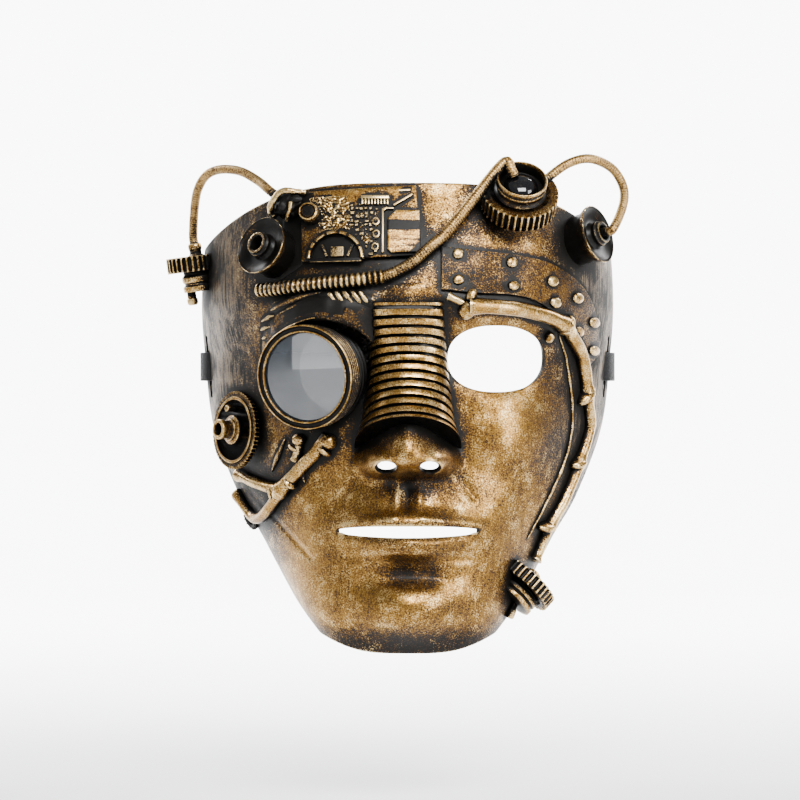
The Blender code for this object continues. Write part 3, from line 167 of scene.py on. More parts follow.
# Heights of the dark stripe across the plate, and how fine the brush strokes are along each axis
CHIP_BAND = (0.0514, 0.0542)
CHIP_STROKES = (60.0, 60.0, 1100.0)
STROKES = (900.0, 900.0, 60.0)
CRUST_CORNERS = ((-0.0395, 0.0632), (-0.0245, 0.0640), (-0.0215, 0.0500), (-0.0345, 0.0500))
GAP_CORNERS = (Corner(-0.575, 0.945), Corner(-0.488, 0.960), Corner(-0.482, 0.520), Corner(-0.590, 0.430))
PLATE_TOP = (
    Corner(0.152, 0.62),
    Corner(0.30, 0.60),
    Corner(0.50, 0.575),
    Corner(0.66, 0.53),
    Corner(0.79, 0.43),
    Corner(0.865, 0.30),
    Corner(0.895, 0.14),
    Corner(0.905, 0.02),
)
PLATE_FOOT = (
    Corner(0.152, 0.370),
    Corner(0.30, 0.350),
    Corner(0.49, 0.340),
    Corner(0.61, 0.300),
    Corner(0.695, 0.215),
    Corner(0.765, 0.110),
    Corner(0.82, 0.010),
    Corner(0.85, -0.030),
)
RIVETS = (
    Corner(0.227, 0.575),
    Corner(0.229, 0.425),
    Corner(0.471, 0.530),
    Corner(0.477, 0.395),
    Corner(0.660, 0.430),
    Corner(0.672, 0.310),
    Corner(0.780, 0.340),
    Corner(0.865, 0.205),
    Corner(0.786, 0.150),
    Corner(0.868, 0.040),
)
Knuckle = namedtuple("Knuckle", "name across up radius")
KNUCKLES = (
    Knuckle("brow_knuckle", 0.275, 0.285, 1.35),
    Knuckle("corner_knuckle", 0.726, 0.188, 1.5),
    Knuckle("temple_knuckle", 0.838, -0.133, 1.45),
    Knuckle("cheek_knuckle", 0.800, -0.365, 1.4),
    Knuckle("jaw_knuckle", 0.652, -0.583, 1.5),
    Knuckle("cheek_elbow", -0.583, -0.454, 1.25),
)
# Lumps of each knuckle: offset across and up, turn, half length, half width, half height and tip
COLLARS = {
    "brow_knuckle": (
        (-0.0004, -0.0012, 1.0, 0.0042, 0.0033, 0.0036, 0.0),
        (0.0012, 0.0036, 1.2, 0.0030, 0.0022, 0.0028, 0.0),
    ),
    "corner_knuckle": (
        (0.0, 0.0, 0.9, 0.0046, 0.0027, 0.0038, 0.0),
        (-0.0062, -0.0052, 1.5, 0.0024, 0.0018, 0.0022, 0.0),
    ),
    "temple_knuckle": ((-0.0006, 0.0002, 0.38, 0.0056, 0.0023, 0.0037, 0.0006),),
    "cheek_knuckle": ((-0.0004, 0.0, -0.08, 0.0050, 0.0023, 0.0034, 0.0004),),
    "jaw_knuckle": ((-0.0006, 0.0004, -0.30, 0.0056, 0.0022, 0.0034, 0.0014),),
    "cheek_elbow": (
        (0.0, 0.0, 0.7, 0.0044, 0.0034, 0.0036, 0.0),
        (0.0042, 0.0036, 2.2, 0.0034, 0.0015, 0.0034, 0.0),
        (-0.0030, -0.0008, 1.6, 0.0034, 0.0026, 0.0030, 0.0),
    ),
}
# Strands of the knot: a radius and then places about its middle
STRANDS = (
    (0.0013, (-0.0056, 0.0024), (-0.0034, 0.0048), (-0.0008, 0.0056), (0.0030, 0.0052), (0.0066, 0.0048)),
    (0.0014, (-0.0050, 0.0030), (-0.0068, -0.0004), (-0.0070, -0.0034), (-0.0054, -0.0052)),
    (0.0008, (0.0012, 0.0010), (0.0008, -0.0020), (0.0000, -0.0044), (-0.0006, -0.0066)),
)
Pipe = namedtuple("Pipe", "name radius route")
PIPES = (
    Pipe("brow_stub", 0.50, (Corner(0.185, 0.335), Corner(0.275, 0.285))),
    Pipe(
        "brow_pipe",
        1.0,
        (Corner(0.275, 0.285), Corner(0.433, 0.282), Corner(0.60, 0.250), Corner(0.726, 0.188)),
    ),
    Pipe("temple_pipe", 0.96, (Corner(0.726, 0.188), Corner(0.805, 0.02), Corner(0.838, -0.133))),
    Pipe("cheek_pipe", 0.84, (Corner(0.838, -0.133), Corner(0.855, -0.24), Corner(0.800, -0.365))),
    Pipe("jaw_pipe", 0.84, (Corner(0.800, -0.365), Corner(0.735, -0.48), Corner(0.652, -0.583))),
    Pipe("chin_pipe", 0.76, (Corner(0.652, -0.583), Corner(0.615, -0.650), Corner(0.588, -0.695))),
    Pipe("goggle_pipe", 0.92, (Corner(-0.361, -0.277), Corner(-0.47, -0.36), Corner(-0.583, -0.454))),
    Pipe("cheek_plug", 0.66, (Corner(-0.495, -0.275), Corner(-0.512, -0.350))),
    Pipe("jaw_strut", 0.78, (Corner(-0.583, -0.454), Corner(-0.69, -0.435), Corner(-0.79, -0.405))),
    Pipe(
        "jaw_loop",
        0.78,
        (Corner(-0.800, -0.475), Corner(-0.716, -0.552), Corner(-0.645, -0.520), Corner(-0.583, -0.454)),
    ),
)
# The thin raised edge beside the side pipes
EDGE_ROUTE = (
    Corner(0.705, 0.130),
    Corner(0.735, 0.020),
    Corner(0.762, -0.090),
    Corner(0.775, -0.180),
    Corner(0.768, -0.270),
    Corner(0.735, -0.365),
    Corner(0.680, -0.455),
    Corner(0.620, -0.540),
    Corner(0.560, -0.620),
)
Stop = namedtuple("Stop", "across up third")
LEFT_ROUTE = (
    Stop(-1.016, 0.900, 0.650),
    Stop(-0.995, 1.000, 0.575),
    Stop(-0.950, 1.074, 0.500),
    Stop(-0.880, 1.100, 0.425),
    Stop(-0.785, 1.082, 0.330),
    Stop(-0.700, 1.020, 0.240),
    Stop(-0.640, 0.955, 0.160),
)
RIGHT_ROUTE = (
    Stop(0.600, 0.970, 0.150),
    Stop(0.670, 1.050, 0.150),
    Stop(0.754, 1.120, 0.170),
    Stop(0.851, 1.146, 0.215),
    Stop(0.955, 1.097, 0.300),
    Stop(1.012, 0.988, 0.350),
    Stop(1.010, 0.879, 0.370),
)
LONG_ROUTE = (
    Stop(0.285, 0.850, 3.9),
    Stop(0.175, 0.684, 2.3),
    Stop(0.100, 0.600, 2.2),
    Stop(0.023, 0.520, 1.7),
    Stop(-0.060, 0.465, 1.2),
    Stop(-0.119, 0.440, 1.05),
)
COIL_ROUTE = (
    Stop(-0.175, 0.434, 0.95),
    Stop(-0.396, 0.400, 0.75),
    Stop(-0.560, 0.385, 0.75),
    Stop(-0.679, 0.381, 0.75),
)

EYE = Corner(0.410, -0.012)
MOUTH_UP = -0.588
NOSTRIL = Corner(0.102, -0.373)
BELLOWS_UP = 0.302
BELLOWS_DOWN = -0.315
BELLOWS_TOP_WIDTH = 0.0288
BELLOWS_FOOT_WIDTH = 0.0404

# The stage: the camera's place, how much it sees across at the mask, and the floor's level and curve
CAMERA_PLACE = (-0.00324, -1.4, -0.0182)
VIEW_WIDTH = 0.324
SENSOR = 36.0
FLOOR_LEVEL = -0.185
FLOOR_HALF = 3.2
COVE_START = 1.6
COVE_RADIUS = 1.4

# Sizes of the fittings, as the solids have them
SEAT_GAP = 0.0003
LENS_RADIUS = 0.0194
LENS_THICKNESS = 0.0015
BARREL_WALL = 0.0018
BARREL_LENGTH = 0.016
BEZEL_WALL = 0.0013
BEZEL_LENGTH = 0.0072
BEZEL_LIP = 0.0010
PANEL = 0.0026
# Where the small parts of the panel start, a little inside it
PANEL_FOOT = PANEL - 0.0004
CHIP = 0.0014
ARCH_RADIUS = 0.011
ARCH_BAND = 0.0016
ARCH_HEIGHT = 0.0028
PLATE = 0.0015
PIPE_RADIUS = 0.0029
FLANGE_RADIUS = 0.0122
FLANGE_STAND = 0.0036
FLANGE_STEM = 0.84
HUB_RADIUS = 0.0045
HUB_LENGTH = 0.0052
HUB_BORE = 0.0031
CUP_GEAR_RADIUS = 0.0158
CUP_GEAR_FACE = 0.008
CUP_GEAR_TEETH = 38
CUP_RADIUS = 0.0103
CUP_DEPTH = 0.0066
DOME_RADIUS = 0.0064
TEMPLE_GEAR_RADIUS = 0.010
TEMPLE_GEAR_FACE = 0.0065
TEMPLE_GEAR_TEETH = 26
TEMPLE_DRUM_RADIUS = 0.0067
TEMPLE_DRUM_LENGTH = 0.008
TEMPLE_CAP_LENGTH = 0.0052
TEMPLE_CAP_SHIFT = 0.28
TEMPLE_DRUM_SHIFT = 0.24
TEMPLE_PIN_SHIFT = -0.12
JAW_GEAR_RADIUS = 0.0162
JAW_GEAR_FACE = 0.0024
JAW_GEAR_TEETH = 56
JAW_HUB_RADIUS = 0.0042
JAW_HUB_LENGTH = 0.0076
CHIN_GEAR_RADIUS = 0.0134
CHIN_GEAR_FACE = 0.0056
CHIN_GEAR_TEETH = 32
CHIN_DRUM_RADIUS = 0.0094
CHIN_DRUM_LENGTH = 0.006
SMALL_GEAR_RADIUS = 0.0042
SMALL_GEAR_FACE = 0.0035
SMALL_GEAR_TEETH = 12
SMALL_TOOTH = 0.001
TOOTH = 0.0016
HOSE_RADIUS = 0.0019
LONG_HOSE_RADIUS = 0.00225
COIL_RADIUS = 0.0029
STRAP_WIDTH = 0.012
STRAP_THICKNESS = 0.0012
STRAP_REACH = 0.165
STRAP_DROOP = 0.036
SLOT_INSET = 0.010
STRAP_LEVEL = -0.004


def rounded(rows, key):
    """The row of a table at a height between its rows, through which a smooth curve is drawn."""
    if key <= rows[0][0]:
        return rows[0][1:]
    if key >= rows[-1][0]:
        return rows[-1][1:]
    last = len(rows) - 1
    low = max(i for i in range(last) if rows[i][0] <= key)
    here, there = rows[low], rows[low + 1]
    span = there[0] - here[0]
    t = (key - here[0]) / span
    before, after = rows[max(low - 1, 0)], rows[min(low + 2, last)]
    values = []
    for column in range(1, len(here)):
        start = (there[column] - before[column]) / (there[0] - before[0]) * span
        end = (after[column] - here[column]) / (after[0] - here[0]) * span
        value = (2 * t**3 - 3 * t * t + 1) * here[column] + (t**3 - 2 * t * t + t) * start
        values.append(value + (3 * t * t - 2 * t**3) * there[column] + (t**3 - t * t) * end)
    return values


def up_share(z):
    return z / TOP_HEIGHT if z > 0 else z / CHIN_DROP


def height(up):
    return up * TOP_HEIGHT if up > 0 else up * CHIN_DROP


def half_width(z):
    return HALF_WIDTH * rounded(SECTIONS, up_share(z))[0]


def nose_rise(x, z):
    up = up_share(z)
    if not NOSE[0].up < up < NOSE[-1].up:
        return 0.0
    rise, half = rounded(NOSE, up)
    off = abs(x) / (half * NOSE_HALF)
    return 0.0 if off >= 1 else max(0.0, rise) * NOSE_RISE * (1 - off * off) ** 1.5


def form_rise(x, z):
    total = 0.0
    for form in FORMS:
        off_x = (abs(x) / HALF_WIDTH - form.across) / form.half_across
        off_z = (z - height(form.up)) / (form.half_up * HALF_WIDTH)
        off = off_x * off_x + off_z * off_z
        if off < 1:
            total += form.rise * RELIEF * (1 - off) ** 2
    return total


def raw_face(x, z):
    width, front, rim, power = rounded(SECTIONS, up_share(z))
    off = SIDE_REACH * min(abs(x) / (HALF_WIDTH * width), 1.0)
    full = 1 - (1 - SIDE_REACH**power) ** (1 / power)
    sweep = (1 - (1 - off**power) ** (1 / power)) / full
    flat = PROFILE_DEPTH * front + (RIM_DEPTH * rim - PROFILE_DEPTH * front) * sweep
    return flat - nose_rise(x, z) - form_rise(x, z)


FACE_SHIFT = -(raw_face(0.0, 0.0) + WALL)


def face(x, z):
    """The depth of the face's outer surface."""
    return raw_face(x, z) + FACE_SHIFT


def face_normal(x, z):
    step = HALF_WIDTH * 0.01
    slope_x = (face(x + step, z) - face(x - step, z)) / (2 * step)
    slope_z = (face(x, z + step) - face(x, z - step)) / (2 * step)
    return Vector((slope_x, -1.0, slope_z)).normalized()


def over(across, up, lift):
    """A point at a height over the face, square to it."""
    return lifted(across * HALF_WIDTH, height(up), lift)


def lifted(x, z, lift):
    return Vector((x, face(x, z), z)) + face_normal(x, z) * lift


def ahead(seat):
    x = seat.across * HALF_WIDTH
    z = height(seat.up)
    return Vector((x, face(x, z) - seat.ahead, z))


def aimed(point, axis):
    """The placement whose +Z runs along an axis."""
    turn = Vector(axis).to_track_quat("Z", "Y")
    return Matrix.Translation(point) @ turn.to_matrix().to_4x4()


def seated(seat):
    return aimed(ahead(seat), seat.axis)


def in_stack(shift):
    """The placement of a piece of the temple stack, moved sideways by a share of its gear's radius."""
    point = Vector((TEMPLE.across * HALF_WIDTH, TEMPLE_BACK * RIM_DEPTH, height(TEMPLE.up)))
    return Matrix.Translation((shift * TEMPLE_GEAR_RADIUS, 0.0, 0.0)) @ aimed(point, TEMPLE.axis)


def curve_through(stops, per_span):
    """Rows along a smooth curve through the chosen rows."""
    rows = []
    last = len(stops) - 1
    for i in range(last):
        ends = [stops[max(i - 1, 0)], stops[i], stops[i + 1], stops[min(i + 2, last)]]
        before, start, end, after = (Vector(row) for row in ends)
        for step in range(per_span):
            t = step / per_span
            bend = (2 * before - 5 * start + 4 * end - after) * t * t
            turn = (3 * start - before - 3 * end + after) * t**3
            rows.append(start + ((end - before) * t + bend + turn) / 2)
    rows.append(Vector(stops[last]))
    return rows


def evened(path, steps):
    """The same curve, with its points at even distances."""
    lengths = [0.0]
    for here, there in zip(path, path[1:]):
        lengths.append(lengths[-1] + (there - here).length)
    points = []
    at = 0
    for step in range(steps + 1):
        target = lengths[-1] * step / steps
        while at < len(path) - 2 and lengths[at + 1] < target:
            at += 1
        share = (target - lengths[at]) / (lengths[at + 1] - lengths[at])
        points.append(path[at].lerp(path[at + 1], min(share, 1.0)))
    return points


def path_length(path):
    return sum((there - here).length for here, there in zip(path, path[1:]))


def tapering(off):
    """One at the middle of a line or a bump, falling smoothly to nothing at its edge."""
    return (1 - off * off) ** 2 if off < 1 else 0.0


def fine_relief(x, z):
    """The moulding's fine lines and its slight unevenness."""
    total = 0.0
    for line in LINES:
        run_x, run_z = line.to_x - line.x, line.to_z - line.z
        share = ((x - line.x) * run_x + (z - line.z) * run_z) / (run_x * run_x + run_z * run_z)
        share = min(max(share, 0.0), 1.0)
        off = math.hypot(x - line.x - run_x * share, z - line.z - run_z * share)
        if off < line.half:
            total += line.rise * tapering(off / line.half)
    wave = noise.noise(Vector((x, 0.0, z)) * 60) * 0.00035
    return total + wave


class MaskSizes(bpy.types.PropertyGroup):
    """Sizes of the mask's face and of how finely it is drawn."""

    columns: IntProperty(name="Columns", description="Faces across the mask", default=220, min=60, max=260)
    rows: IntProperty(name="Rows", description="Faces from chin to brow", default=190, min=60, max=240)
    wall: FloatProperty(name="Wall", description="Thickness of the moulding", default=WALL, unit="LENGTH")
    eye_width: FloatProperty(
        name="Eye width", description="Width of the open eye", default=0.040, unit="LENGTH"
    )
    eye_height: FloatProperty(
        name="Eye height", description="Height of the open eye", default=0.027, unit="LENGTH"
    )
    mouth_width: FloatProperty(
        name="Mouth width", description="Width of the mouth slot", default=0.058, unit="LENGTH"
    )
    mouth_height: FloatProperty(
        name="Mouth height", description="Height of the mouth slot", default=0.0046, unit="LENGTH"
    )


class FittingSizes(bpy.types.PropertyGroup):
    """Counts and edge sizes of the fittings."""

    ribs: IntProperty(name="Bellows ribs", description="Ribs of the nose bellows", default=13, min=4, max=30)
    coil_ribs: IntProperty(
        name="Coil ribs", description="Rings of the ribbed hose", default=25, min=8, max=60
    )
    comb_pins: IntProperty(name="Comb pins", description="Pins of the small comb", default=9, min=3, max=20)
    edge: FloatProperty(name="Edge", description="Rounding of the cast edges", default=0.00022, unit="LENGTH")
    lens_dome: FloatProperty(name="Lens dome", description="Rise of the lens", default=0.0012, unit="LENGTH")


class FinishColours(bpy.types.PropertyGroup):
    """Colours of the paint."""

    gold: FloatVectorProperty(
        name="Gold", description="Dry-brushed paint", subtype="COLOR", default=(0.37, 0.215, 0.062)
    )
    # Pale gold also serves the painted highlight in sheen patches.
    pale: FloatVectorProperty(
        name="Pale gold", description="Paint on raised edges", subtype="COLOR", default=(0.78, 0.60, 0.32)
    )
    bronze: FloatVectorProperty(
        name="Bronze", description="Thin paint over black", subtype="COLOR", default=(0.105, 0.050, 0.013)
    )
    black: FloatVectorProperty(
        name="Black", description="The bare plastic", subtype="COLOR", default=(0.006, 0.005, 0.004)
    )
    grey: FloatVectorProperty(
        name="Side grey",
        description="Thin paint at the sides",
        subtype="COLOR",
        default=(0.105, 0.080, 0.054),
    )


class Wire:
    """A shader socket that can stand in a Python expression."""

    def __init__(self, tree, node, name=0):
        self.tree = tree
        self.node = node
        self.socket = node.outputs[name] if len(node.outputs) else None

    def out(self, name):
        return Wire(self.tree, self.node, name)

    def _math(self, operation, first, second):
        node = self.tree.nodes.new("ShaderNodeMath")
        node.operation = operation
        for socket, value in zip(node.inputs, (first, second)):
            plug(self.tree, socket, value)
        return Wire(self.tree, node)

    def __add__(self, other):
        return self._math("ADD", self, other)

    def __radd__(self, other):
        return self._math("ADD", other, self)

    def __sub__(self, other):
        return self._math("SUBTRACT", self, other)

    def __rsub__(self, other):
        return self._math("SUBTRACT", other, self)

    def __mul__(self, other):
        return self._math("MULTIPLY", self, other)

    def __rmul__(self, other):
        return self._math("MULTIPLY", other, self)

    def __abs__(self):
        return self._math("ABSOLUTE", self, 0.0)


def plug(tree, socket, value):
    if isinstance(value, Wire):
        tree.links.new(value.socket, socket)
    elif value is not None:
        if socket.type == "RGBA" and len(value) == 3:
            value = (*value, 1.0)
        socket.default_value = value


class Finish:
    """A material whose maths is written as expressions."""

    def __init__(self, name):
        self.material = bpy.data.materials.new(name)
        self.material.use_nodes = True
        self.tree = self.material.node_tree
        self.tree.nodes.clear()
        self.place = self.node("ShaderNodeTexCoord").out("Object")

    def node(self, kind, settings=None, sockets=None):
        """A node of a type, with its settings first and then the values or links of its sockets."""
        made = self.tree.nodes.new(kind)
        for key, value in (settings or {}).items():
            setattr(made, key, value)
        for key, value in (sockets or {}).items():
            plug(self.tree, made.inputs[key], value)
        return Wire(self.tree, made)

    def stretched(self, scale, turn=(0.0, 0.0, 0.0)):
        sockets = {"Vector": self.place, "Scale": scale, "Rotation": turn}
        return self.node("ShaderNodeMapping", None, sockets)

    def noise(self, scale, detail=3.0, rough=0.55, vector=None, warp=0.0):
        sockets = {"Vector": vector or self.place, "Scale": scale, "Detail": detail, "Roughness": rough}
        sockets["Distortion"] = warp
        return self.node("ShaderNodeTexNoise", None, sockets).out("Fac")

    def ramped(self, value, low, high):
        """From nothing at one value to one at another, smoothly."""
        sockets = {"Value": value, "From Min": low, "From Max": high, "To Min": 0.0, "To Max": 1.0}
        return self.node("ShaderNodeMapRange", {"interpolation_type": "SMOOTHSTEP"}, sockets)

    def mixed(self, share, first, second):
        made = self.tree.nodes.new("ShaderNodeMix")
        made.data_type = "RGBA"
        plug(self.tree, made.inputs[0], share)
        plug(self.tree, made.inputs[6], first)
        plug(self.tree, made.inputs[7], second)
        return Wire(self.tree, made, 2)

    def attribute(self, name):
        return self.node("ShaderNodeAttribute", {"attribute_name": name}).out("Fac")

    def axis(self, name, source=None):
        return self.node("ShaderNodeSeparateXYZ", None, {"Vector": source or self.place}).out(name)

    def bump(self, height_wire, distance, strength=1.0):
        return self.node(
            "ShaderNodeBump", None, {"Height": height_wire, "Distance": distance, "Strength": strength}
        ).out("Normal")

    def surface(self, sockets):
        shader = self.node("ShaderNodeBsdfPrincipled", None, sockets)
        self.node("ShaderNodeOutputMaterial", None, {"Surface": shader})
        return self.material


def antique(name, cover, speckle, streak, shine, rough, face_side=False, strokes=STROKES, band=None):
    """Black plastic with gold paint dabbed and brushed over it: thick on edges, gone from the recesses, with
    painted shade from ray-cast occlusion in recesses and between parts, and pale painted highlights.
    """
    colours = bpy.context.scene.mask_colours
    finish = Finish(name)
    cloud = finish.noise(34.0, 4.0, 0.6, warp=0.5)
    mottle = finish.noise(150.0, 3.0, 0.6)
    grain = finish.noise(1700.0, 2.0, 0.7)
    brush = finish.noise(1.0, 3.0, 0.6, vector=finish.stretched(strokes))
    wear = finish.attribute("wear")
    crevice = finish.attribute("crevice")
    hollow = finish.attribute("hollow")
    up = finish.axis("Z")
    level = cover + 0.60 * (cloud - 0.5) + 0.45 * (mottle - 0.5) + streak * (brush - 0.5)
    # Painted shade: paint is taken off where rays from a point soon meet other surfaces, near and far, so
    # recesses and gaps between parts go dark; this stands also for the black that dry-brushing leaves in
    # recesses.
    level = level + 0.32 * wear - 1.5 * hollow - 1.0 * crevice
    dab = speckle * 4.5 * (grain - 0.5)
    if face_side:
        across = abs(finish.axis("X"))
        # Painted shade: the underside of the chin, below 0.106 m down, is darkened towards black.
        level = level - 0.45 * finish.ramped(up, -0.106, -0.120)
        level = level - 0.30 * finish.ramped(across, 0.046, 0.066)
        far = finish.ramped(across, 0.058, 0.076)
        level = level + far * (0.10 + 0.6 * (brush - 0.5))
        dab = dab * (1 - 0.75 * far)
    if band:
        low, high = band
        stripe = finish.ramped(up, low - 0.0010, low) * finish.ramped(up, high + 0.0010, high)
        level = level - 0.62 * stripe
    paint = finish.ramped(level + dab, 0.26, 0.54)
    body = finish.mixed(finish.ramped(level + 1.4 * (grain - 0.5), 0.36, 0.86), colours.bronze, colours.gold)
    # Painted highlight, in part: pale gold on raised edges is the paint's own, and the patches where the
    # mottle and grain lift it are painted sheen.
    lit = finish.ramped(0.70 * wear + (mottle - 0.5) + 1.6 * (grain - 0.5) + 0.35 * level, 0.30, 0.62)
    body = finish.mixed(lit * shine, body, colours.pale)
    metal = 0.92 * paint
    if face_side:
        body = finish.mixed(far * 0.8, body, colours.grey)
        metal = metal * (1 - 0.75 * far)
        rough = rough + 0.22 * far
    relief = grain * 0.5 + brush * 0.5 + paint
    return finish.surface(
        {
            "Base Color": finish.mixed(paint, colours.black, body),
            "Metallic": metal,
            "Roughness": rough + 0.20 * (grain - 0.5) + 0.10 * (1 - paint),
            "Normal": finish.bump(relief, 0.00012, 0.6),
            "Specular IOR Level": 0.30,
            "Coat Weight": 0.22 * paint,
            "Coat Roughness": 0.20,
        }
    )


def gloss_black(name):
    """Polished black plastic with a little dust."""
    finish = Finish(name)
    dust = finish.ramped(finish.noise(260.0, 4.0, 0.6), 0.55, 0.75)
    return finish.surface(
        {
            "Base Color": finish.mixed(dust, (0.006, 0.006, 0.007), (0.03, 0.027, 0.022)),
            "Roughness": 0.06 + 0.10 * dust,
            "Coat Weight": 0.6,
            "Coat Roughness": 0.04,
        }
    )


def bare_black(name):
    """The unpainted plastic inside the face: matt, with a faint grain and rubbed patches."""
    finish = Finish(name)
    grain = finish.noise(700.0, 2.0, 0.5)
    rubbed = finish.ramped(finish.noise(40.0, 4.0, 0.6), 0.50, 0.80)
    return finish.surface(
        {
            "Base Color": finish.mixed(rubbed, (0.010, 0.009, 0.008), (0.030, 0.027, 0.024)),
            "Roughness": 0.42 + 0.16 * rubbed,
            "Normal": finish.bump(grain, 0.00008, 0.5),
        }
    )


def clear_plastic(name):
    """The lens: a smoky clear plastic with a faint haze and fine scratches."""
    finish = Finish(name)
    haze = finish.noise(90.0, 4.0, 0.6)
    scratch = finish.noise(1.0, 2.0, 0.5, vector=finish.stretched((2200.0, 200.0, 90.0), (0.0, 0.6, 0.0)))
    marks = finish.ramped(scratch, 0.62, 0.75)
    smoke = finish.mixed(finish.ramped(haze, 0.35, 0.7), (0.020, 0.026, 0.034), (0.045, 0.055, 0.065))
    return finish.surface(
        {
            "Base Color": smoke,
            "Roughness": 0.03 + 0.08 * marks,
            "Alpha": 0.84 + 0.08 * haze,
            "Coat Weight": 1.0,
            "Coat Roughness": 0.03,
            "Coat IOR": 2.0,
            "IOR": 1.9,
        }
    )


def woven_elastic(name):
    """Flat black elastic: fine ribs along its length, crossed by the weft."""
    finish = Finish(name)
    uv = finish.node("ShaderNodeTexCoord").out("UV")
    across = finish.axis("X", uv)
    along = finish.axis("Y", uv)
    rib = finish.node(
        "ShaderNodeTexWave",
        {"wave_type": "BANDS", "bands_direction": "X", "wave_profile": "SIN"},
        {"Vector": finish.node("ShaderNodeCombineXYZ", None, {"X": across, "Y": along}), "Scale": 10.0},
    ).out("Fac")
    weft = finish.node(
        "ShaderNodeTexWave",
        {"wave_type": "BANDS", "bands_direction": "Y", "wave_profile": "SIN"},
        {"Vector": finish.node("ShaderNodeCombineXYZ", None, {"X": across, "Y": along}), "Scale": 170.0},
    ).out("Fac")
    fuzz = finish.noise(2600.0, 2.0, 0.6)
    weave = rib * 0.6 + weft * 0.4
    lit = finish.ramped(weave * 0.7 + fuzz * 0.4, 0.2, 0.9)
    colour = finish.mixed(lit, (0.004, 0.004, 0.005), (0.030, 0.030, 0.032))
    return finish.surface(
        {
            "Base Color": colour,
            "Roughness": 0.82 + 0.1 * fuzz,
            "Normal": finish.bump(weave + 0.3 * fuzz, 0.0003, 0.8),
            "Sheen Weight": 0.25,
        }
    )


def soften(bm, width, degrees=34.0, segments=2):
    """Rounds the edges that are sharper than an angle."""
    limit = math.radians(degrees)
    sharp = [edge for edge in bm.edges if len(edge.link_faces) == 2 and edge.calc_face_angle(0.0) > limit]
    if sharp:
        bmesh.ops.bevel(
            bm,
            geom=sharp,
            offset=width,
            offset_type="OFFSET",
            segments=segments,
            profile=0.5,
            affect="EDGES",
            clamp_overlap=True,
            material=-1,
        )
    return bm


def placed(bm, at):
    bmesh.ops.transform(bm, matrix=at, verts=bm.verts)
    return bm


def merged(*parts):
    """Several meshes as one."""
    whole = bmesh.new()
    for part in parts:
        mesh = bpy.data.meshes.new("part")
        part.to_mesh(mesh)
        part.free()
        whole.from_mesh(mesh)
        bpy.data.meshes.remove(mesh)
    return whole


def turned(outline, steps, angle=math.tau):
    """A solid turned about Z from (radius, height) points; one that leaves the axis open is a ring."""
    bm = bmesh.new()
    verts = [bm.verts.new((radius, 0.0, along)) for radius, along in outline]
    edges = [bm.edges.new(pair) for pair in zip(verts, verts[1:])]
    if outline[0][0] > 0:
        edges.append(bm.edges.new((verts[-1], verts[0])))
    full = angle == math.tau
    bmesh.ops.spin(
        bm, geom=verts + edges, cent=(0, 0, 0), axis=(0, 0, 1), angle=angle, steps=steps, use_merge=full
    )
    bmesh.ops.remove_doubles(bm, verts=bm.verts, dist=1e-6)
    if not full:
        bmesh.ops.holes_fill(bm, edges=[edge for edge in bm.edges if edge.is_boundary], sides=0)
    bmesh.ops.recalc_face_normals(bm, faces=bm.faces)
    return bm


def spun(outline, steps=56, edge=None):
    """A turned solid with its edges rounded."""
    return soften(turned(outline, steps), edge or bpy.context.scene.mask_fittings.edge)


def gear_blank(radius, tooth, thickness, teeth):
    """A gear about Z with square-topped teeth."""
    bm = bmesh.new()
    made = bmesh.ops.create_circle(bm, cap_ends=True, radius=radius, segments=4 * teeth)
    turn = math.tau / (4 * teeth)
    for place, vert in enumerate(made["verts"]):
        if place % 4 in (0, 1):
            spread = turn * (-0.26 if place % 4 == 0 else 0.26)
            vert.co *= (radius - tooth) / radius
        else:
            spread = turn * (-0.10 if place % 4 == 2 else 0.10)
        vert.co = Matrix.Rotation(spread, 3, "Z") @ vert.co
    raised = bmesh.ops.extrude_face_region(bm, geom=bm.faces[:])
    tops = [item for item in raised["geom"] if isinstance(item, bmesh.types.BMVert)]
    bmesh.ops.translate(bm, verts=tops, vec=(0.0, 0.0, thickness / 2))
    known = set(tops)
    lows = [vert for vert in bm.verts if vert not in known]
    bmesh.ops.translate(bm, verts=lows, vec=(0.0, 0.0, -thickness / 2))
    upright = [edge for edge in bm.edges if abs(edge.verts[0].co.z - edge.verts[1].co.z) > thickness / 2]
    bmesh.ops.subdivide_edges(bm, edges=upright, cuts=4, use_grid_fill=True)
    bmesh.ops.recalc_face_normals(bm, faces=bm.faces)
    soften(bm, 0.00014, 40.0, 1)
    caps = [item for item in bm.faces if len(item.verts) > 2 * teeth]
    margin = 0.0004 + 0.25 * tooth
    for depth in (0.0, -0.0003):
        bmesh.ops.inset_region(bm, faces=caps, thickness=margin, depth=depth, use_even_offset=True)
    return bm


def tube(path, radius_at, sides):
    """A round tube along a path. The radius at a place is given by its share of the length and its turn."""
    bm = bmesh.new()
    layer = bm.loops.layers.uv.new("UVMap")
    last = len(path) - 1
    bmesh.ops.create_grid(bm, x_segments=sides, y_segments=last, size=1.0, calc_uvs=True)
    frames = []
    side = Vector((0.0, 0.0, 1.0))
    for i in range(last + 1):
        along = (path[min(i + 1, last)] - path[max(i - 1, 0)]).normalized()
        side = (side - along * side.dot(along)).normalized()
        frames.append((side.copy(), along.cross(side)))
    for vert in bm.verts:
        share = (vert.co.y + 1) / 2
        station = round(share * last)
        turn = math.pi * (vert.co.x + 1)
        radius = radius_at(share, turn)
        first, second = frames[station]
        vert.co = path[station] + (first * math.cos(turn) + second * math.sin(turn)) * radius
    length = path_length(path)
    for loop_face in bm.faces:
        for loop in loop_face.loops:
            loop[layer].uv.y *= length * 100
    bmesh.ops.remove_doubles(bm, verts=bm.verts, dist=1e-6)
    open_edges = [edge for edge in bm.edges if edge.is_boundary]
    if open_edges:
        bmesh.ops.holes_fill(bm, edges=open_edges, sides=0)
    bmesh.ops.recalc_face_normals(bm, faces=bm.faces)
    return bm


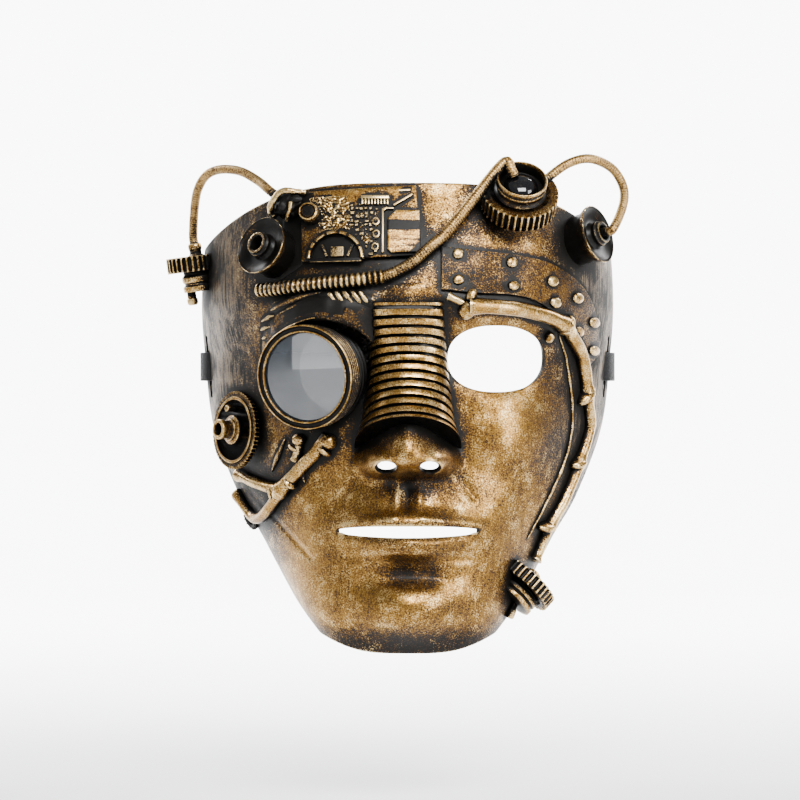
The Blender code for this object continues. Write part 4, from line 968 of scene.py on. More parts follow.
def bar(x, z, width, tall, low, high, turn=0.0, edge=0.0002):
    """A small block in sheet space, where X and Y lie in the face and Z is the height over it."""
    bm = bmesh.new()
    bmesh.ops.create_cube(bm, size=1.0)
    bmesh.ops.scale(bm, verts=bm.verts, vec=(width, tall, high - low))
    if edge:
        soften(bm, edge, 30.0, 2)
    bmesh.ops.rotate(bm, verts=bm.verts, cent=(0, 0, 0), matrix=Matrix.Rotation(turn, 3, "Z"))
    bmesh.ops.translate(bm, verts=bm.verts, vec=(x, z, (low + high) / 2))
    return bm


def turned_flat(outline, x, z, steps=24, angle=math.tau, edge=0.00015):
    """A turned piece in sheet space."""
    bm = turned(outline, steps, angle)
    if edge:
        soften(bm, edge)
    bmesh.ops.translate(bm, verts=bm.verts, vec=(x, z, 0.0))
    return bm


def draped(bm):
    """Bends a mesh from sheet space over the face."""
    for vert in bm.verts:
        vert.co = lifted(vert.co.x, vert.co.y, vert.co.z)
    return bm


def spot(corner):
    return corner.across * HALF_WIDTH, height(corner.up)


PIECES = []


def show(name, bm, finish, *nodes, sharp=40.0):
    """Adds a piece in a finish, which stands for CAD nodes and rides on the mask."""
    mesh = bpy.data.meshes.new(name)
    bm.to_mesh(mesh)
    bm.free()
    piece = bpy.data.objects.new(name, mesh)
    bpy.context.scene.collection.objects.link(piece)
    mesh.materials.append(finish_of(finish))
    mesh.shade_smooth()
    mesh.set_sharp_from_angle(angle=math.radians(sharp))
    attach(piece, "root")
    if nodes:
        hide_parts(*nodes)
    PIECES.append(piece)
    return piece


# For each finish: a slot name, what makes it, and the values that it takes
FINISHES = {
    "face_paint": ("antique_bronze", antique, (0.62, 0.34, 0.34, 0.66, 0.34, True)),
    "gold_paint": ("antique_gold", antique, (0.76, 0.20, 0.12, 0.75, 0.30)),
    "bronze_paint": ("antique_bronze", antique, (0.40, 0.30, 0.16, 0.22, 0.38)),
    "flange_paint": ("antique_bronze", antique, (0.40, 0.12, 0.10, 0.8, 0.26)),
    "hose_paint": ("antique_bronze", antique, (0.46, 0.30, 0.08, 0.25, 0.40)),
    "dark_paint": ("dark_bronze", antique, (0.26, 0.30, 0.14, 0.5, 0.36)),
    "chip_paint": ("antique_gold", antique, (0.62, 0.12, 1.1, 0.4, 0.34, False, CHIP_STROKES, CHIP_BAND)),
    "panel_paint": ("antique_bronze", antique, (0.62, 0.32, 0.20, 0.5, 0.36)),
    # Near-black paint for the stand-ins of slots, notches and openings: painted shade.
    "soot_black": ("dark_bronze", antique, (-0.60, 0.10, 0.05, 0.3, 0.40)),
    "black_gloss": ("gloss_black", gloss_black, ()),
    "bare_black": ("antique_bronze", bare_black, ()),
    "lens_plastic": ("clear_lens", clear_plastic, ()),
    "strap_elastic": ("woven_elastic", woven_elastic, ()),
}


def finish_of(name):
    """The material of a finish, made the first time it is asked for."""
    _, maker, values = FINISHES[name]
    return bpy.data.materials.get(name) or maker(name, *values)


def round_edges(piece, width, degrees):
    edge = piece.modifiers.new("edge", "BEVEL")
    edge.width = width
    edge.segments = 2
    edge.limit_method = "ANGLE"
    edge.angle_limit = math.radians(degrees)


def side_shares(count):
    """Shares of the half width whose points lie at even distances along the face's curve."""
    _, _, rim, power = rounded(SECTIONS, 0.0)
    full = 1 - (1 - SIDE_REACH**power) ** (1 / power)
    lengths = [0.0]
    before = (0.0, 0.0)
    fine = 600
    for i in range(1, fine + 1):
        off = SIDE_REACH * i / fine
        sweep = (1 - (1 - off**power) ** (1 / power)) / full
        here = (HALF_WIDTH * i / fine, RIM_DEPTH * rim * sweep)
        lengths.append(lengths[-1] + math.hypot(here[0] - before[0], here[1] - before[1]))
        before = here
    shares = []
    at = 0
    for i in range(count + 1):
        target = lengths[-1] * i / count
        while at < fine - 1 and lengths[at + 1] < target:
            at += 1
        part = (target - lengths[at]) / (lengths[at + 1] - lengths[at])
        shares.append(min(1.0, (at + part) / fine))
    return shares


def oval_field(x, z, at_x, at_z, width, tall, power):
    """Below zero inside an oval, and near its edge the share of the way out of it."""
    return (abs(2 * (x - at_x) / width) ** power + abs(2 * (z - at_z) / tall) ** power) ** (1 / power) - 1


def openings(sizes):
    """The holes of the face: a field for each, which is below zero inside, and its rough place and reach."""
    eye_x, eye_z = spot(EYE)
    mouth_z = height(MOUTH_UP)
    nostril_x, nostril_z = spot(NOSTRIL)
    goggle = ahead(GOGGLE)
    axis = Vector(GOGGLE.axis).normalized()

    def eye(point):
        return oval_field(point.x, point.z, eye_x, eye_z, sizes.eye_width, sizes.eye_height, 2.3)

    def mouth(point):
        return oval_field(point.x, point.z, 0.0, mouth_z, sizes.mouth_width, sizes.mouth_height, 2.2)

    def nostril(point):
        return oval_field(abs(point.x), point.z, nostril_x, nostril_z, 0.0088, 0.0052, 2.0)

    def goggle_hole(point):
        away = point - goggle
        return (away - axis * away.dot(axis)).length / (LENS_RADIUS - BARREL_WALL / 2) - 1

    def slots(point):
        if abs(point.x) < 0.06:
            return 1.0
        return oval_field(point.y, point.z, slot_depth(), STRAP_LEVEL, 0.0034, 0.026, 8.0)

    return (eye, mouth, nostril, goggle_hole, slots)


def slot_depth():
    return face(half_width(STRAP_LEVEL), STRAP_LEVEL) - SLOT_INSET


def slot_place():
    low, high = 0.0, half_width(STRAP_LEVEL)
    for _ in range(40):
        middle = (low + high) / 2
        if face(middle, STRAP_LEVEL) < slot_depth():
            low = middle
        else:
            high = middle
    return low


class MASK_OT_face(bpy.types.Operator):
    """Moulds the face with its openings and fine relief."""

    bl_idname = "mask.face"
    bl_label = "Face"

    def execute(self, context):
        sizes = context.scene.mask_sizes
        columns = sizes.columns // 2 * 2
        shares = side_shares(columns // 2)
        bm = bmesh.new()
        bmesh.ops.create_grid(bm, x_segments=columns, y_segments=sizes.rows, size=1.0)
        for vert in bm.verts:
            column = round((vert.co.x + 1) / 2 * columns) - columns // 2
            side = math.copysign(shares[abs(column)], column) if column else 0.0
            rise = (vert.co.y + 1) / 2
            top = TOP_HEIGHT * (1 - TOP_FALL * abs(side) ** 3.5)
            foot = -CHIN_DROP * (1 - CHIN_LIFT * abs(side) ** 4)
            z = foot + (top - foot) * rise
            x = side * half_width(z)
            vert.co = (x, face(x, z), z)
        for hole in openings(sizes):
            self.trim(bm, hole)
        for vert in bm.verts:
            vert.co.y -= fine_relief(vert.co.x, vert.co.z)
        bmesh.ops.recalc_face_normals(bm, faces=bm.faces)
        if sum(item.normal.y for item in bm.faces) > 0:
            bmesh.ops.reverse_faces(bm, faces=bm.faces)
        piece = show("mask_face", bm, "face_paint", "mask_shell", sharp=60.0)
        wall = piece.modifiers.new("wall", "SOLIDIFY")
        wall.thickness = sizes.wall
        wall.offset = -1.0
        wall.use_even_offset = True
        piece.data.materials.append(finish_of("bare_black"))
        wall.material_offset = 1
        round_edges(piece, 0.0004, 62)
        return {"FINISHED"}

    def trim(self, bm, hole):
        """Moves the grid's nearest points onto the opening's edge and takes out what lies inside."""
        step = 2e-5
        values = {vert: hole(vert.co) for vert in bm.verts}
        near = set()
        for edge in bm.edges:
            first, second = edge.verts
            if (values[first] < 0) != (values[second] < 0):
                near.add(first if abs(values[first]) < abs(values[second]) else second)
        for vert in near:
            for _ in range(4):
                here = hole(vert.co)
                slope = Vector((0.0, 0.0, 0.0))
                for axis in range(3):
                    probe = vert.co.copy()
                    probe[axis] += step
                    slope[axis] = (hole(probe) - here) / step
                if slope.length < 1e-6:
                    break
                move = slope * (-here / slope.length_squared)
                if move.length > 0.0012:
                    move *= 0.0012 / move.length
                vert.co += move
            if abs(vert.co.x) < 0.07:
                vert.co.y = face(vert.co.x, vert.co.z)
        bmesh.ops.connect_verts(bm, verts=list(near), check_degenerate=False)
        inside = [item for item in bm.faces if hole(item.calc_center_median()) < 0]
        bmesh.ops.delete(bm, geom=inside, context="FACES")


class MASK_OT_bellows(bpy.types.Operator):
    """Builds the ribbed guard over the nose."""

    bl_idname = "mask.bellows"
    bl_label = "Nose bellows"

    def execute(self, context):
        ribs = context.scene.mask_fittings.ribs
        per_rib = 16
        steps = ribs * per_rib
        sides = 30
        bm = bmesh.new()
        bmesh.ops.create_grid(bm, x_segments=sides, y_segments=steps, size=1.0)
        for vert in bm.verts:
            t = (1 - vert.co.y) / 2
            turn = math.pi * (vert.co.x + 1) / 2
            phase = (t * ribs) % 1.0
            off = min(abs(phase - 0.5) / 0.17, 1.0)
            groove = 0.0019 * (1 - off * off) ** 0.8 + 0.0004 * (2 * abs(phase - 0.5) - 1) ** 2
            flare = 0.0016 * max(0.0, (t - 0.86) / 0.14)
            z = height(BELLOWS_UP) + (height(BELLOWS_DOWN) - height(BELLOWS_UP)) * t
            width = BELLOWS_TOP_WIDTH + (BELLOWS_FOOT_WIDTH - BELLOWS_TOP_WIDTH) * t**1.3
            half = width / 2 - groove / 2 + flare
            arch = 0.0135 * t**1.2
            base = face(half, z) + 0.0008
            front = face(0.0, z + arch) - 0.0062 * (0.72 + 0.35 * t) + groove - flare
            swell = math.sin(turn) ** 0.8 if 0 < turn < math.pi - 1e-6 else 0.0
            vert.co = (half * math.cos(turn), base + (front - base) * swell, z + arch * swell)
        bmesh.ops.holes_fill(bm, edges=[edge for edge in bm.edges if edge.is_boundary], sides=0)
        bmesh.ops.recalc_face_normals(bm, faces=bm.faces)
        show("bellows", bm, "gold_paint", "nose_bellows", sharp=50.0)
        return {"FINISHED"}


class MASK_OT_goggle(bpy.types.Operator):
    """Builds the goggle: threaded barrel, lens, ring and the brow over it."""

    bl_idname = "mask.goggle"
    bl_label = "Goggle"

    def execute(self, context):
        fittings = context.scene.mask_fittings
        at = seated(GOGGLE)
        lens_back = BARREL_LENGTH + SEAT_GAP
        lens_front = lens_back + LENS_THICKNESS
        front = lens_front + SEAT_GAP + BEZEL_LIP
        outer = LENS_RADIUS + SEAT_GAP
        bore = LENS_RADIUS - BARREL_WALL
        ring = front - BEZEL_LENGTH - SEAT_GAP
        outline = [(bore, BARREL_LENGTH), (outer, BARREL_LENGTH), (outer, ring)]
        threads = 5
        pitch = (ring + 0.002) / threads
        for thread in range(threads):
            top = ring - thread * pitch
            outline += [(outer + 0.0009, top - 0.16 * pitch), (outer + 0.0009, top - 0.50 * pitch)]
            outline += [(outer, top - 0.66 * pitch), (outer, top - 0.98 * pitch)]
        outline += [(outer, -0.012), (bore, -0.012)]
        inner = 6
        deep = BARREL_LENGTH + 0.010
        for thread in range(inner):
            low = -0.010 + deep * thread / inner
            outline += [(bore, low), (bore - 0.0007, low + 0.3 * deep / inner)]
            outline.append((bore, low + 0.6 * deep / inner))
        barrel = placed(spun(outline, 64), at)
        show("goggle_tube", barrel, "dark_paint", "goggle_barrel")
        rise = fittings.lens_dome
        lens = [(0.0, lens_front + rise)]
        lens += [(LENS_RADIUS * i / 8, lens_front + rise * (1 - (i / 8) ** 2)) for i in range(1, 9)]
        lens += [(LENS_RADIUS, lens_back), (0.0, lens_back)]
        glass = placed(spun(lens, 64), at)
        show("goggle_glass", glass, "lens_plastic", "goggle_lens")
        sleeve = outer + SEAT_GAP
        rim = sleeve + BEZEL_WALL
        mouth = LENS_RADIUS - BEZEL_LIP
        tail = front - BEZEL_LENGTH
        bezel = [
            (mouth - 0.0004, front - BEZEL_LIP),
            (mouth - 0.0004, front - 0.0002),
            (mouth, front + 0.0003),
            (mouth + 0.0005, front + 0.0002),
            (mouth + 0.0007, front - 0.0006),
            (rim - 0.0009, front - 0.0006),
            (rim - 0.0007, front + 0.0002),
            (rim - 0.0003, front + 0.0005),
            (rim, front + 0.0001),
        ]
        ridges = 4
        pitch = (BEZEL_LENGTH - 0.0008) / ridges
        for ridge in range(ridges):
            high = front - 0.0006 - ridge * pitch
            bezel += [(rim, high), (rim - 0.0009, high - 0.3 * pitch), (rim - 0.0009, high - 0.62 * pitch)]
            bezel.append((rim, high - 0.85 * pitch))
        bezel += [(rim, tail), (sleeve, tail), (sleeve, front - BEZEL_LIP)]
        show("goggle_ring", placed(spun(bezel, 96, 0.00012), at), "gold_paint", "goggle_bezel")
        channel = [
            (mouth + 0.0007, front - 0.0008),
            (mouth + 0.0007, front - 0.0004),
            (rim - 0.0009, front - 0.0004),
            (rim - 0.0009, front - 0.0008),
        ]
        show("goggle_channel", placed(spun(channel, 96, 0.0001), at), "dark_paint")
        self.brow()
        return {"FINISHED"}

    def brow(self):
        """The lip over the goggle, which the face rises to, with a dark gap under it."""
        centre = ahead(GOGGLE)
        inner = LENS_RADIUS + 0.0050
        profile = ((0.0105, -0.0006), (0.0075, 0.0006), (0.0045, 0.0022), (0.0020, 0.0042), (0.0008, 0.0050),
                   (0.0, 0.0048), (-0.0002, 0.0036), (0.0004, -0.0012))
        steps = 72
        bm = bmesh.new()
        bmesh.ops.create_grid(bm, x_segments=steps, y_segments=len(profile) - 1, size=1.0)
        for vert in bm.verts:
            share = (vert.co.x + 1) / 2
            row = round((vert.co.y + 1) / 2 * (len(profile) - 1))
            turn = math.radians(12 + 150 * share)
            fade = math.sin(math.pi * share) ** 0.6
            wobble = 0.0005 * noise.noise(Vector((share * 14, row * 0.4, 3.0)))
            out, rise = profile[row]
            radius = inner + out * (0.35 + 0.65 * fade) + wobble
            x = centre.x + math.cos(turn) * radius
            z = centre.z + math.sin(turn) * radius
            vert.co = lifted(x, z, rise * fade + (wobble if row else 0.0) - (0.0004 if row == 0 else 0.0))
        bmesh.ops.solidify(bm, geom=bm.faces[:], thickness=0.0006)
        bmesh.ops.recalc_face_normals(bm, faces=bm.faces)
        show("goggle_brow", bm, "bronze_paint", "goggle_hood")
        path = []
        for step in range(41):
            share = step / 40
            turn = math.radians(78 + 76 * share)
            reach = inner + 0.0004
            rise = 0.0016 + 0.0036 * math.sin(math.pi * share) ** 0.5
            path.append(lifted(centre.x + math.cos(turn) * reach, centre.z + math.sin(turn) * reach, rise))

        def radius_at(share, turn):
            return 0.00062 * max(0.2, math.sin(math.pi * share) ** 0.4)

        show("brow_lip", tube(path, radius_at, 12), "gold_paint")
        self.folds()
        self.weld_bits()

    def folds(self):
        """The moulded folds and cuts round the goggle."""
        rng = random.Random(5)
        parts = []
        for fold in FOLDS:
            path = []
            for step in range(25):
                share = step / 24
                x = fold.x + (fold.to_x - fold.x) * share
                z = fold.z + (fold.to_z - fold.z) * share + fold.bow * math.sin(math.pi * share)
                path.append(lifted(x, z, 0.3 * fold.half))
            phase = rng.uniform(0, 6)

            def radius_at(share, turn, fold=fold, phase=phase):
                swell = 1 + 0.12 * math.sin(9 * share + phase)
                return 1.45 * fold.half * max(0.05, math.sin(math.pi * share) ** 0.5) * swell

            parts.append(tube(path, radius_at, 10))
        show("brow_folds", merged(*parts), "face_paint")

    def weld_bits(self):
        """The crumbs of metal between the goggle and the bellows, and over the goggle."""
        rng = random.Random(3)
        parts = []
        patches = ((60, -0.0182, -0.0124, -0.0060, 0.0100), (26, -0.0300, -0.0205, 0.0105, 0.0160))
        for count, left, right, low, high in patches:
            for _ in range(count):
                x = rng.uniform(left, right)
                z = rng.uniform(low, high)
                blob = bmesh.new()
                bmesh.ops.create_icosphere(blob, subdivisions=2, radius=rng.uniform(0.0005, 0.0012))
                for vert in blob.verts:
                    vert.co *= 1 + 0.5 * noise.noise(vert.co * 1400 + Vector((x, z, 0)) * 900)
                bmesh.ops.translate(blob, verts=blob.verts, vec=(x, z, 0.0009))
                parts.append(blob)
        show("weld_bits", draped(merged(*parts)), "bronze_paint")


class MASK_OT_panel(bpy.types.Operator):
    """Builds the forehead panel with its plate, screw, half ring, comb and small parts."""

    bl_idname = "mask.panel"
    bl_label = "Forehead panel"

    def execute(self, context):
        corners = [Vector(spot(corner)) for corner in PANEL_CORNERS]
        show(
            "forehead_panel",
            draped(slab(corners, -0.0010, PANEL, 26, 16, 0.0005)),
            "panel_paint",
            "circuit_panel",
        )
        corners = [Vector(spot(corner)) for corner in CHIP_CORNERS]
        left, top = corners[0]
        right, foot = corners[2]
        clips = (
            ((left + 0.0017, top - 0.0017), (-1.0, 1.0)),
            ((left + 0.0006, foot + 0.0006), (-1.0, -1.0)),
            ((right - 0.0005, foot + 0.0005), (1.0, -1.0)),
        )
        chip = slab(corners, PANEL_FOOT, PANEL + CHIP, 14, 18, 0.00035, clips)
        show("chip", draped(chip), "chip_paint", "chip_plate")
        self.screw()
        self.half_ring()
        self.comb(context.scene.mask_fittings.comb_pins)
        self.small_parts()
        return {"FINISHED"}

    def screw(self):
        x, z = spot(Corner(SCREW_BOSS.across, SCREW_BOSS.up))
        outline = [
            (0.0, PANEL + 0.0046),
            (0.0023, PANEL + 0.0046),
            (0.0026, PANEL + 0.0043),
            (0.0027, PANEL + 0.0050),
            (0.0031, PANEL + 0.0053),
            (0.0036, PANEL + 0.0048),
            (0.0037, PANEL + 0.0006),
            (0.0041, PANEL - 0.0006),
            (0.0, PANEL - 0.0006),
        ]
        body = turned_flat(outline, x, z, 32)
        disc = [(0.0, PANEL + 0.0049), (0.0024, PANEL + 0.0049), (0.0024, PANEL + 0.0042)]
        disc.append((0.0, PANEL + 0.0042))
        head = turned_flat(disc, x, z, 28)
        # Black bars over the head stand for its cross slot: painted shade in the recess.
        cross = [bar(x, z, 0.0041, 0.00075, PANEL + 0.0046, PANEL + 0.0051, 0.9, 0.0)]
        cross.append(bar(x, z, 0.00075, 0.0041, PANEL + 0.0046, PANEL + 0.0051, 0.9, 0.0))
        show("screw", draped(body), "gold_paint", "screw_boss")
        show("screw_head", draped(head), "bronze_paint")
        show("screw_cross", draped(merged(*cross)), "soot_black")

    def half_ring(self):
        x, z = spot(Corner(HALF_RING.across, HALF_RING.up))
        top = PANEL + ARCH_HEIGHT
        outline = [
            (ARCH_RADIUS - 0.8 * ARCH_BAND, PANEL - 0.0006),
            (ARCH_RADIUS - 0.8 * ARCH_BAND, top - 0.0003),
            (ARCH_RADIUS - 0.5 * ARCH_BAND, top),
            (ARCH_RADIUS, top - 0.0006),
            (ARCH_RADIUS, PANEL - 0.0006),
        ]
        arch = turned_flat(outline, x, z, 60, math.pi)
        show("half_ring_arch", draped(arch), "gold_paint", "half_ring")
        # Black bars at the top of the arch stand for its notches: painted shade in the cuts.
        notch_shades = []
        for degrees in (28, 62, 84, 112, 140, 158):
            turn = math.radians(degrees)
            reach = ARCH_RADIUS - 0.45 * ARCH_BAND
            place = (x + reach * math.cos(turn), z + reach * math.sin(turn))
            notch_shades.append(bar(*place, 0.0014, 0.0005, top - 0.0008, top + 0.00015, turn, 0.0))
        show("half_ring_notches", draped(merged(*notch_shades)), "soot_black")
        well = [(0.0, PANEL + 0.0002), (0.0092, PANEL + 0.0002), (0.0092, PANEL - 0.001), (0.0, PANEL - 0.001)]
        inside = [turned_flat(well, x, z, 28, math.pi, 0.0)]
        inside.append(bar(x, z - 0.0004, 0.0200, 0.0016, PANEL_FOOT, PANEL + 0.0012))
        inside.append(bar(x + 0.0006, z + 0.0028, 0.0050, 0.0040, PANEL_FOOT, PANEL + 0.0016))
        inside.append(bar(x - 0.0045, z + 0.0034, 0.0010, 0.0052, PANEL_FOOT, PANEL + 0.0013, 0.4))
        inside.append(bar(x + 0.0056, z + 0.0034, 0.0010, 0.0052, PANEL_FOOT, PANEL + 0.0013, -0.4))
        show("half_ring_well", draped(merged(*inside)), "dark_paint")

    def comb(self, pins):
        x, z = spot(COMB)
        parts = [bar(x, z + 0.0012, 0.0112, 0.0014, PANEL_FOOT, PANEL + 0.0015)]
        for pin in range(pins):
            along = x - 0.0050 + 0.0100 * pin / (pins - 1)
            parts.append(bar(along, z - 0.0004, 0.00062, 0.0028, PANEL_FOOT, PANEL + 0.0014, 0.0, 0.0001))
        show("pin_row", draped(merged(*parts)), "gold_paint", "pin_comb")

    def small_parts(self):
        """Tiny components, rails and frames on the panel."""
        rng = random.Random(7)
        parts = []
        for row in range(13):
            for column in range(6):
                x = -0.0222 + column * 0.0019 + rng.uniform(-0.0003, 0.0003)
                z = 0.0600 - row * 0.0017 + rng.uniform(-0.0003, 0.0003)
                wide = rng.choice((0.0006, 0.0009, 0.0014))
                tall = rng.choice((0.0005, 0.0008, 0.0011))
                rise = PANEL + rng.uniform(0.0003, 0.0012)
                if rng.random() < 0.8 and math.hypot(x + 0.0283, z - 0.038) > 0.0125:
                    parts.append(bar(x, z, wide, tall, PANEL_FOOT, rise, rng.choice((0.0, 0.0, 0.2)), 0.0))
        for x, z in ((-0.0128, 0.0530), (-0.0126, 0.0480), (-0.0130, 0.0428)):
            ring = [(0.0, PANEL + 0.0002), (0.0008, PANEL + 0.0003), (0.0010, PANEL + 0.0010)]
            ring += [(0.0016, PANEL + 0.0009), (0.0018, PANEL_FOOT), (0.0, PANEL_FOOT)]
            parts.append(turned_flat(ring, x, z, 12, edge=0.0))
        parts.append(bar(-0.0101, 0.0492, 0.0008, 0.0178, PANEL_FOOT, PANEL + 0.0013))
        parts.append(bar(-0.0078, 0.0582, 0.0040, 0.0007, PANEL_FOOT, PANEL + 0.0012))
        parts.append(bar(-0.0090, 0.0580, 0.0020, 0.0009, PANEL_FOOT, PANEL + 0.0012, 0.7))
        parts.append(bar(-0.0020, 0.0618, 0.0090, 0.0009, PANEL_FOOT, PANEL + 0.0012, 0.55))
        parts.append(bar(-0.0200, 0.0655, 0.0420, 0.0009, PANEL_FOOT, PANEL + 0.0006, 0.03))
        show("panel_parts", draped(merged(*parts)), "panel_paint")
        corners = [Vector(corner) for corner in CRUST_CORNERS]
        crust = slab(corners, PANEL - 0.0008, PANEL + 0.0001, 60, 44, 0.0)
        for vert in crust.verts:
            if vert.co.z > PANEL:
                place = Vector((vert.co.x, vert.co.y, 0.0))
                vert.co.z += 0.0005 * noise.noise(place * 520) + 0.0004 * noise.noise(place * 1300)
        show("panel_crust", draped(crust), "gold_paint")
        gap = [Vector(spot(corner)) for corner in GAP_CORNERS]
        show("panel_gap", draped(slab(gap, -0.0008, 0.0004, 8, 14, 0.0003)), "dark_paint")


def thickened(bm, depth):
    """Makes a sheet solid by pushing a copy of it down."""
    made = bmesh.ops.extrude_face_region(bm, geom=bm.faces[:])
    verts = [item for item in made["geom"] if isinstance(item, bmesh.types.BMVert)]
    bmesh.ops.translate(bm, verts=verts, vec=(0.0, 0.0, -depth))


def slab(corners, low, high, columns, rows, edge, clips=()):
    """A four-cornered plate in sheet space, divided finely enough to bend."""
    bm = bmesh.new()
    bmesh.ops.create_grid(bm, x_segments=columns, y_segments=rows, size=1.0)
    top_left, top_right, foot_right, foot_left = corners
    for vert in bm.verts:
        across = (vert.co.x + 1) / 2
        down = (1 - vert.co.y) / 2
        point = top_left.lerp(foot_left, down).lerp(top_right.lerp(foot_right, down), across)
        vert.co = (point.x, point.y, high)
    thickened(bm, high - low)
    for (x, z), (out_x, out_z) in clips:
        geometry = bm.verts[:] + bm.edges[:] + bm.faces[:]
        cut = bmesh.ops.bisect_plane(
            bm, geom=geometry, plane_co=(x, z, 0.0), plane_no=(out_x, out_z, 0.0), clear_outer=True
        )
        rim = [item for item in cut["geom_cut"] if isinstance(item, bmesh.types.BMEdge)]
        bmesh.ops.holes_fill(bm, edges=rim, sides=0)
    bmesh.ops.recalc_face_normals(bm, faces=bm.faces)
    return soften(bm, edge, 50.0, 2) if edge else bm


class MASK_OT_brow_band(bpy.types.Operator):
    """Builds the riveted band and its rivets."""

    bl_idname = "mask.brow_band"
    bl_label = "Riveted band"

    def execute(self, context):
        top = curve_through([spot(corner) for corner in PLATE_TOP], 14)
        foot = curve_through([spot(corner) for corner in PLATE_FOOT], 14)
        columns, rows = len(top) - 1, 22
        bm = bmesh.new()
        bmesh.ops.create_grid(bm, x_segments=columns, y_segments=rows, size=1.0)
        for vert in bm.verts:
            column = round((vert.co.x + 1) / 2 * columns)
            down = (1 - vert.co.y) / 2
            point = top[column].lerp(foot[column], down)
            vert.co = (point.x, point.y, PLATE)
        thickened(bm, PLATE + 0.0010)
        bmesh.ops.recalc_face_normals(bm, faces=bm.faces)
        soften(bm, 0.0004, 50.0, 2)
        show("brow_band", draped(bm), "bronze_paint", "rivet_plate")
        domes = []
        for corner in RIVETS:
            x, z = spot(corner)
            outline = [
                (0.0, PLATE + 0.0014),
                (0.0012, PLATE + 0.0014),
                (0.0019, PLATE + 0.0011),
                (0.0022, PLATE + 0.0006),
                (0.0022, PLATE - 0.0004),
                (0.0, PLATE - 0.0004),
            ]
            domes.append(turned_flat(outline, x, z, 18, edge=0.0))
        names = ["rivet_" + str(i) for i in range(1, len(RIVETS) + 1)]
        show("rivets", draped(merged(*domes)), "gold_paint", *names)
        return {"FINISHED"}


class MASK_OT_flanges(bpy.types.Operator):
    """Turns the two dished flanges."""

    bl_idname = "mask.flanges"
    bl_label = "Flanges"

    def execute(self, context):
        for name, seat in (("flange_left", FLANGE_LEFT), ("flange_right", FLANGE_RIGHT)):
            base = FLANGE_STAND
            top = base + HUB_LENGTH
            outline = [
                (0.0, base - 0.0006),
                (HUB_BORE, base - 0.0006),
                (HUB_BORE, top - 0.0006),
                (HUB_BORE + 0.0004, top),
                (HUB_RADIUS, top),
                (HUB_RADIUS, top - 0.0014),
                (HUB_RADIUS + 0.0007, top - 0.0018),
                (HUB_RADIUS + 0.0007, top - 0.0030),
                (HUB_RADIUS, top - 0.0034),
                (HUB_RADIUS + 0.0003, base + 0.0012),
                (HUB_RADIUS + 0.0012, base - 0.0002),
                (0.70 * FLANGE_RADIUS, base + 0.0002),
                (0.94 * FLANGE_RADIUS, base + 0.0016),
                (0.97 * FLANGE_RADIUS, base + 0.0024),
                (FLANGE_RADIUS, base + 0.0022),
                (FLANGE_RADIUS, base + 0.0014),
                (0.93 * FLANGE_RADIUS, base - 0.0002),
                (FLANGE_STEM * FLANGE_RADIUS, base - 0.0022),
                (FLANGE_STEM * FLANGE_RADIUS, -0.0055),
                (0.0, -0.0055),
            ]
            body = placed(spun(outline, 56), seated(seat))
            show(name + "_dish", body, "flange_paint", name)
        return {"FINISHED"}


class MASK_OT_cup(bpy.types.Operator):
    """Builds the gear, cup and dark dome at the top."""

    bl_idname = "mask.cup"
    bl_label = "Cup"

    def execute(self, context):
        at = seated(CUP_GEAR)
        gear = placed(gear_blank(CUP_GEAR_RADIUS, TOOTH, CUP_GEAR_FACE, CUP_GEAR_TEETH), at)
        show("cup_wheel", gear, "gold_paint", "cup_gear")
        floor = CUP_GEAR_FACE / 2
        top = floor + SEAT_GAP + CUP_DEPTH
        inner = CUP_RADIUS - 0.0010
        outline = [
            (0.0, floor + 0.0014),
            (inner, floor + 0.0014),
            (inner, top - 0.0010),
            (inner + 0.0003, top - 0.0002),
            (inner + 0.0006, top),
            (CUP_RADIUS, top - 0.0002),
            (CUP_RADIUS + 0.0001, top - 0.0014),
            (CUP_RADIUS - 0.0007, top - 0.0020),
            (CUP_RADIUS - 0.0007, top - 0.0028),
            (CUP_RADIUS, top - 0.0032),
            (CUP_RADIUS, top - 0.0040),
            (CUP_RADIUS - 0.0006, top - 0.0044),
            (CUP_RADIUS - 0.0006, floor + 0.0010),
            (CUP_RADIUS + 0.0006, floor - 0.0002),
            (0.0, floor - 0.0002),
        ]
        show("cup_ring", placed(spun(outline, 56), at), "gold_paint", "lens_cup")
        seat = floor + 0.0014
        radius = 1.12 * DOME_RADIUS
        dome = [(0.0, seat + 0.62 * radius)]
        for i in range(1, 15):
            turn = math.pi / 2 * i / 14
            dome.append((radius * math.sin(turn), seat + 0.62 * radius * math.cos(turn)))
        dome += [(radius, seat - 0.0004), (0.0, seat - 0.0004)]
        show("cup_bead", placed(spun(dome, 48), at), "black_gloss", "cup_dome")
        return {"FINISHED"}


def stepped(radius, low, high, lip):
    """The outline of a drum with two raised lips."""
    third = (high - low) / 3
    waist = radius - lip
    return [
        (0.0, high),
        (waist, high),
        (waist, high - third / 2),
        (radius, high - 0.8 * third),
        (radius, high - 1.5 * third),
        (waist, high - 1.8 * third),
        (waist, high - 2.0 * third),
        (radius, low + 0.8 * third),
        (radius, low),
        (0.0, low),
    ]


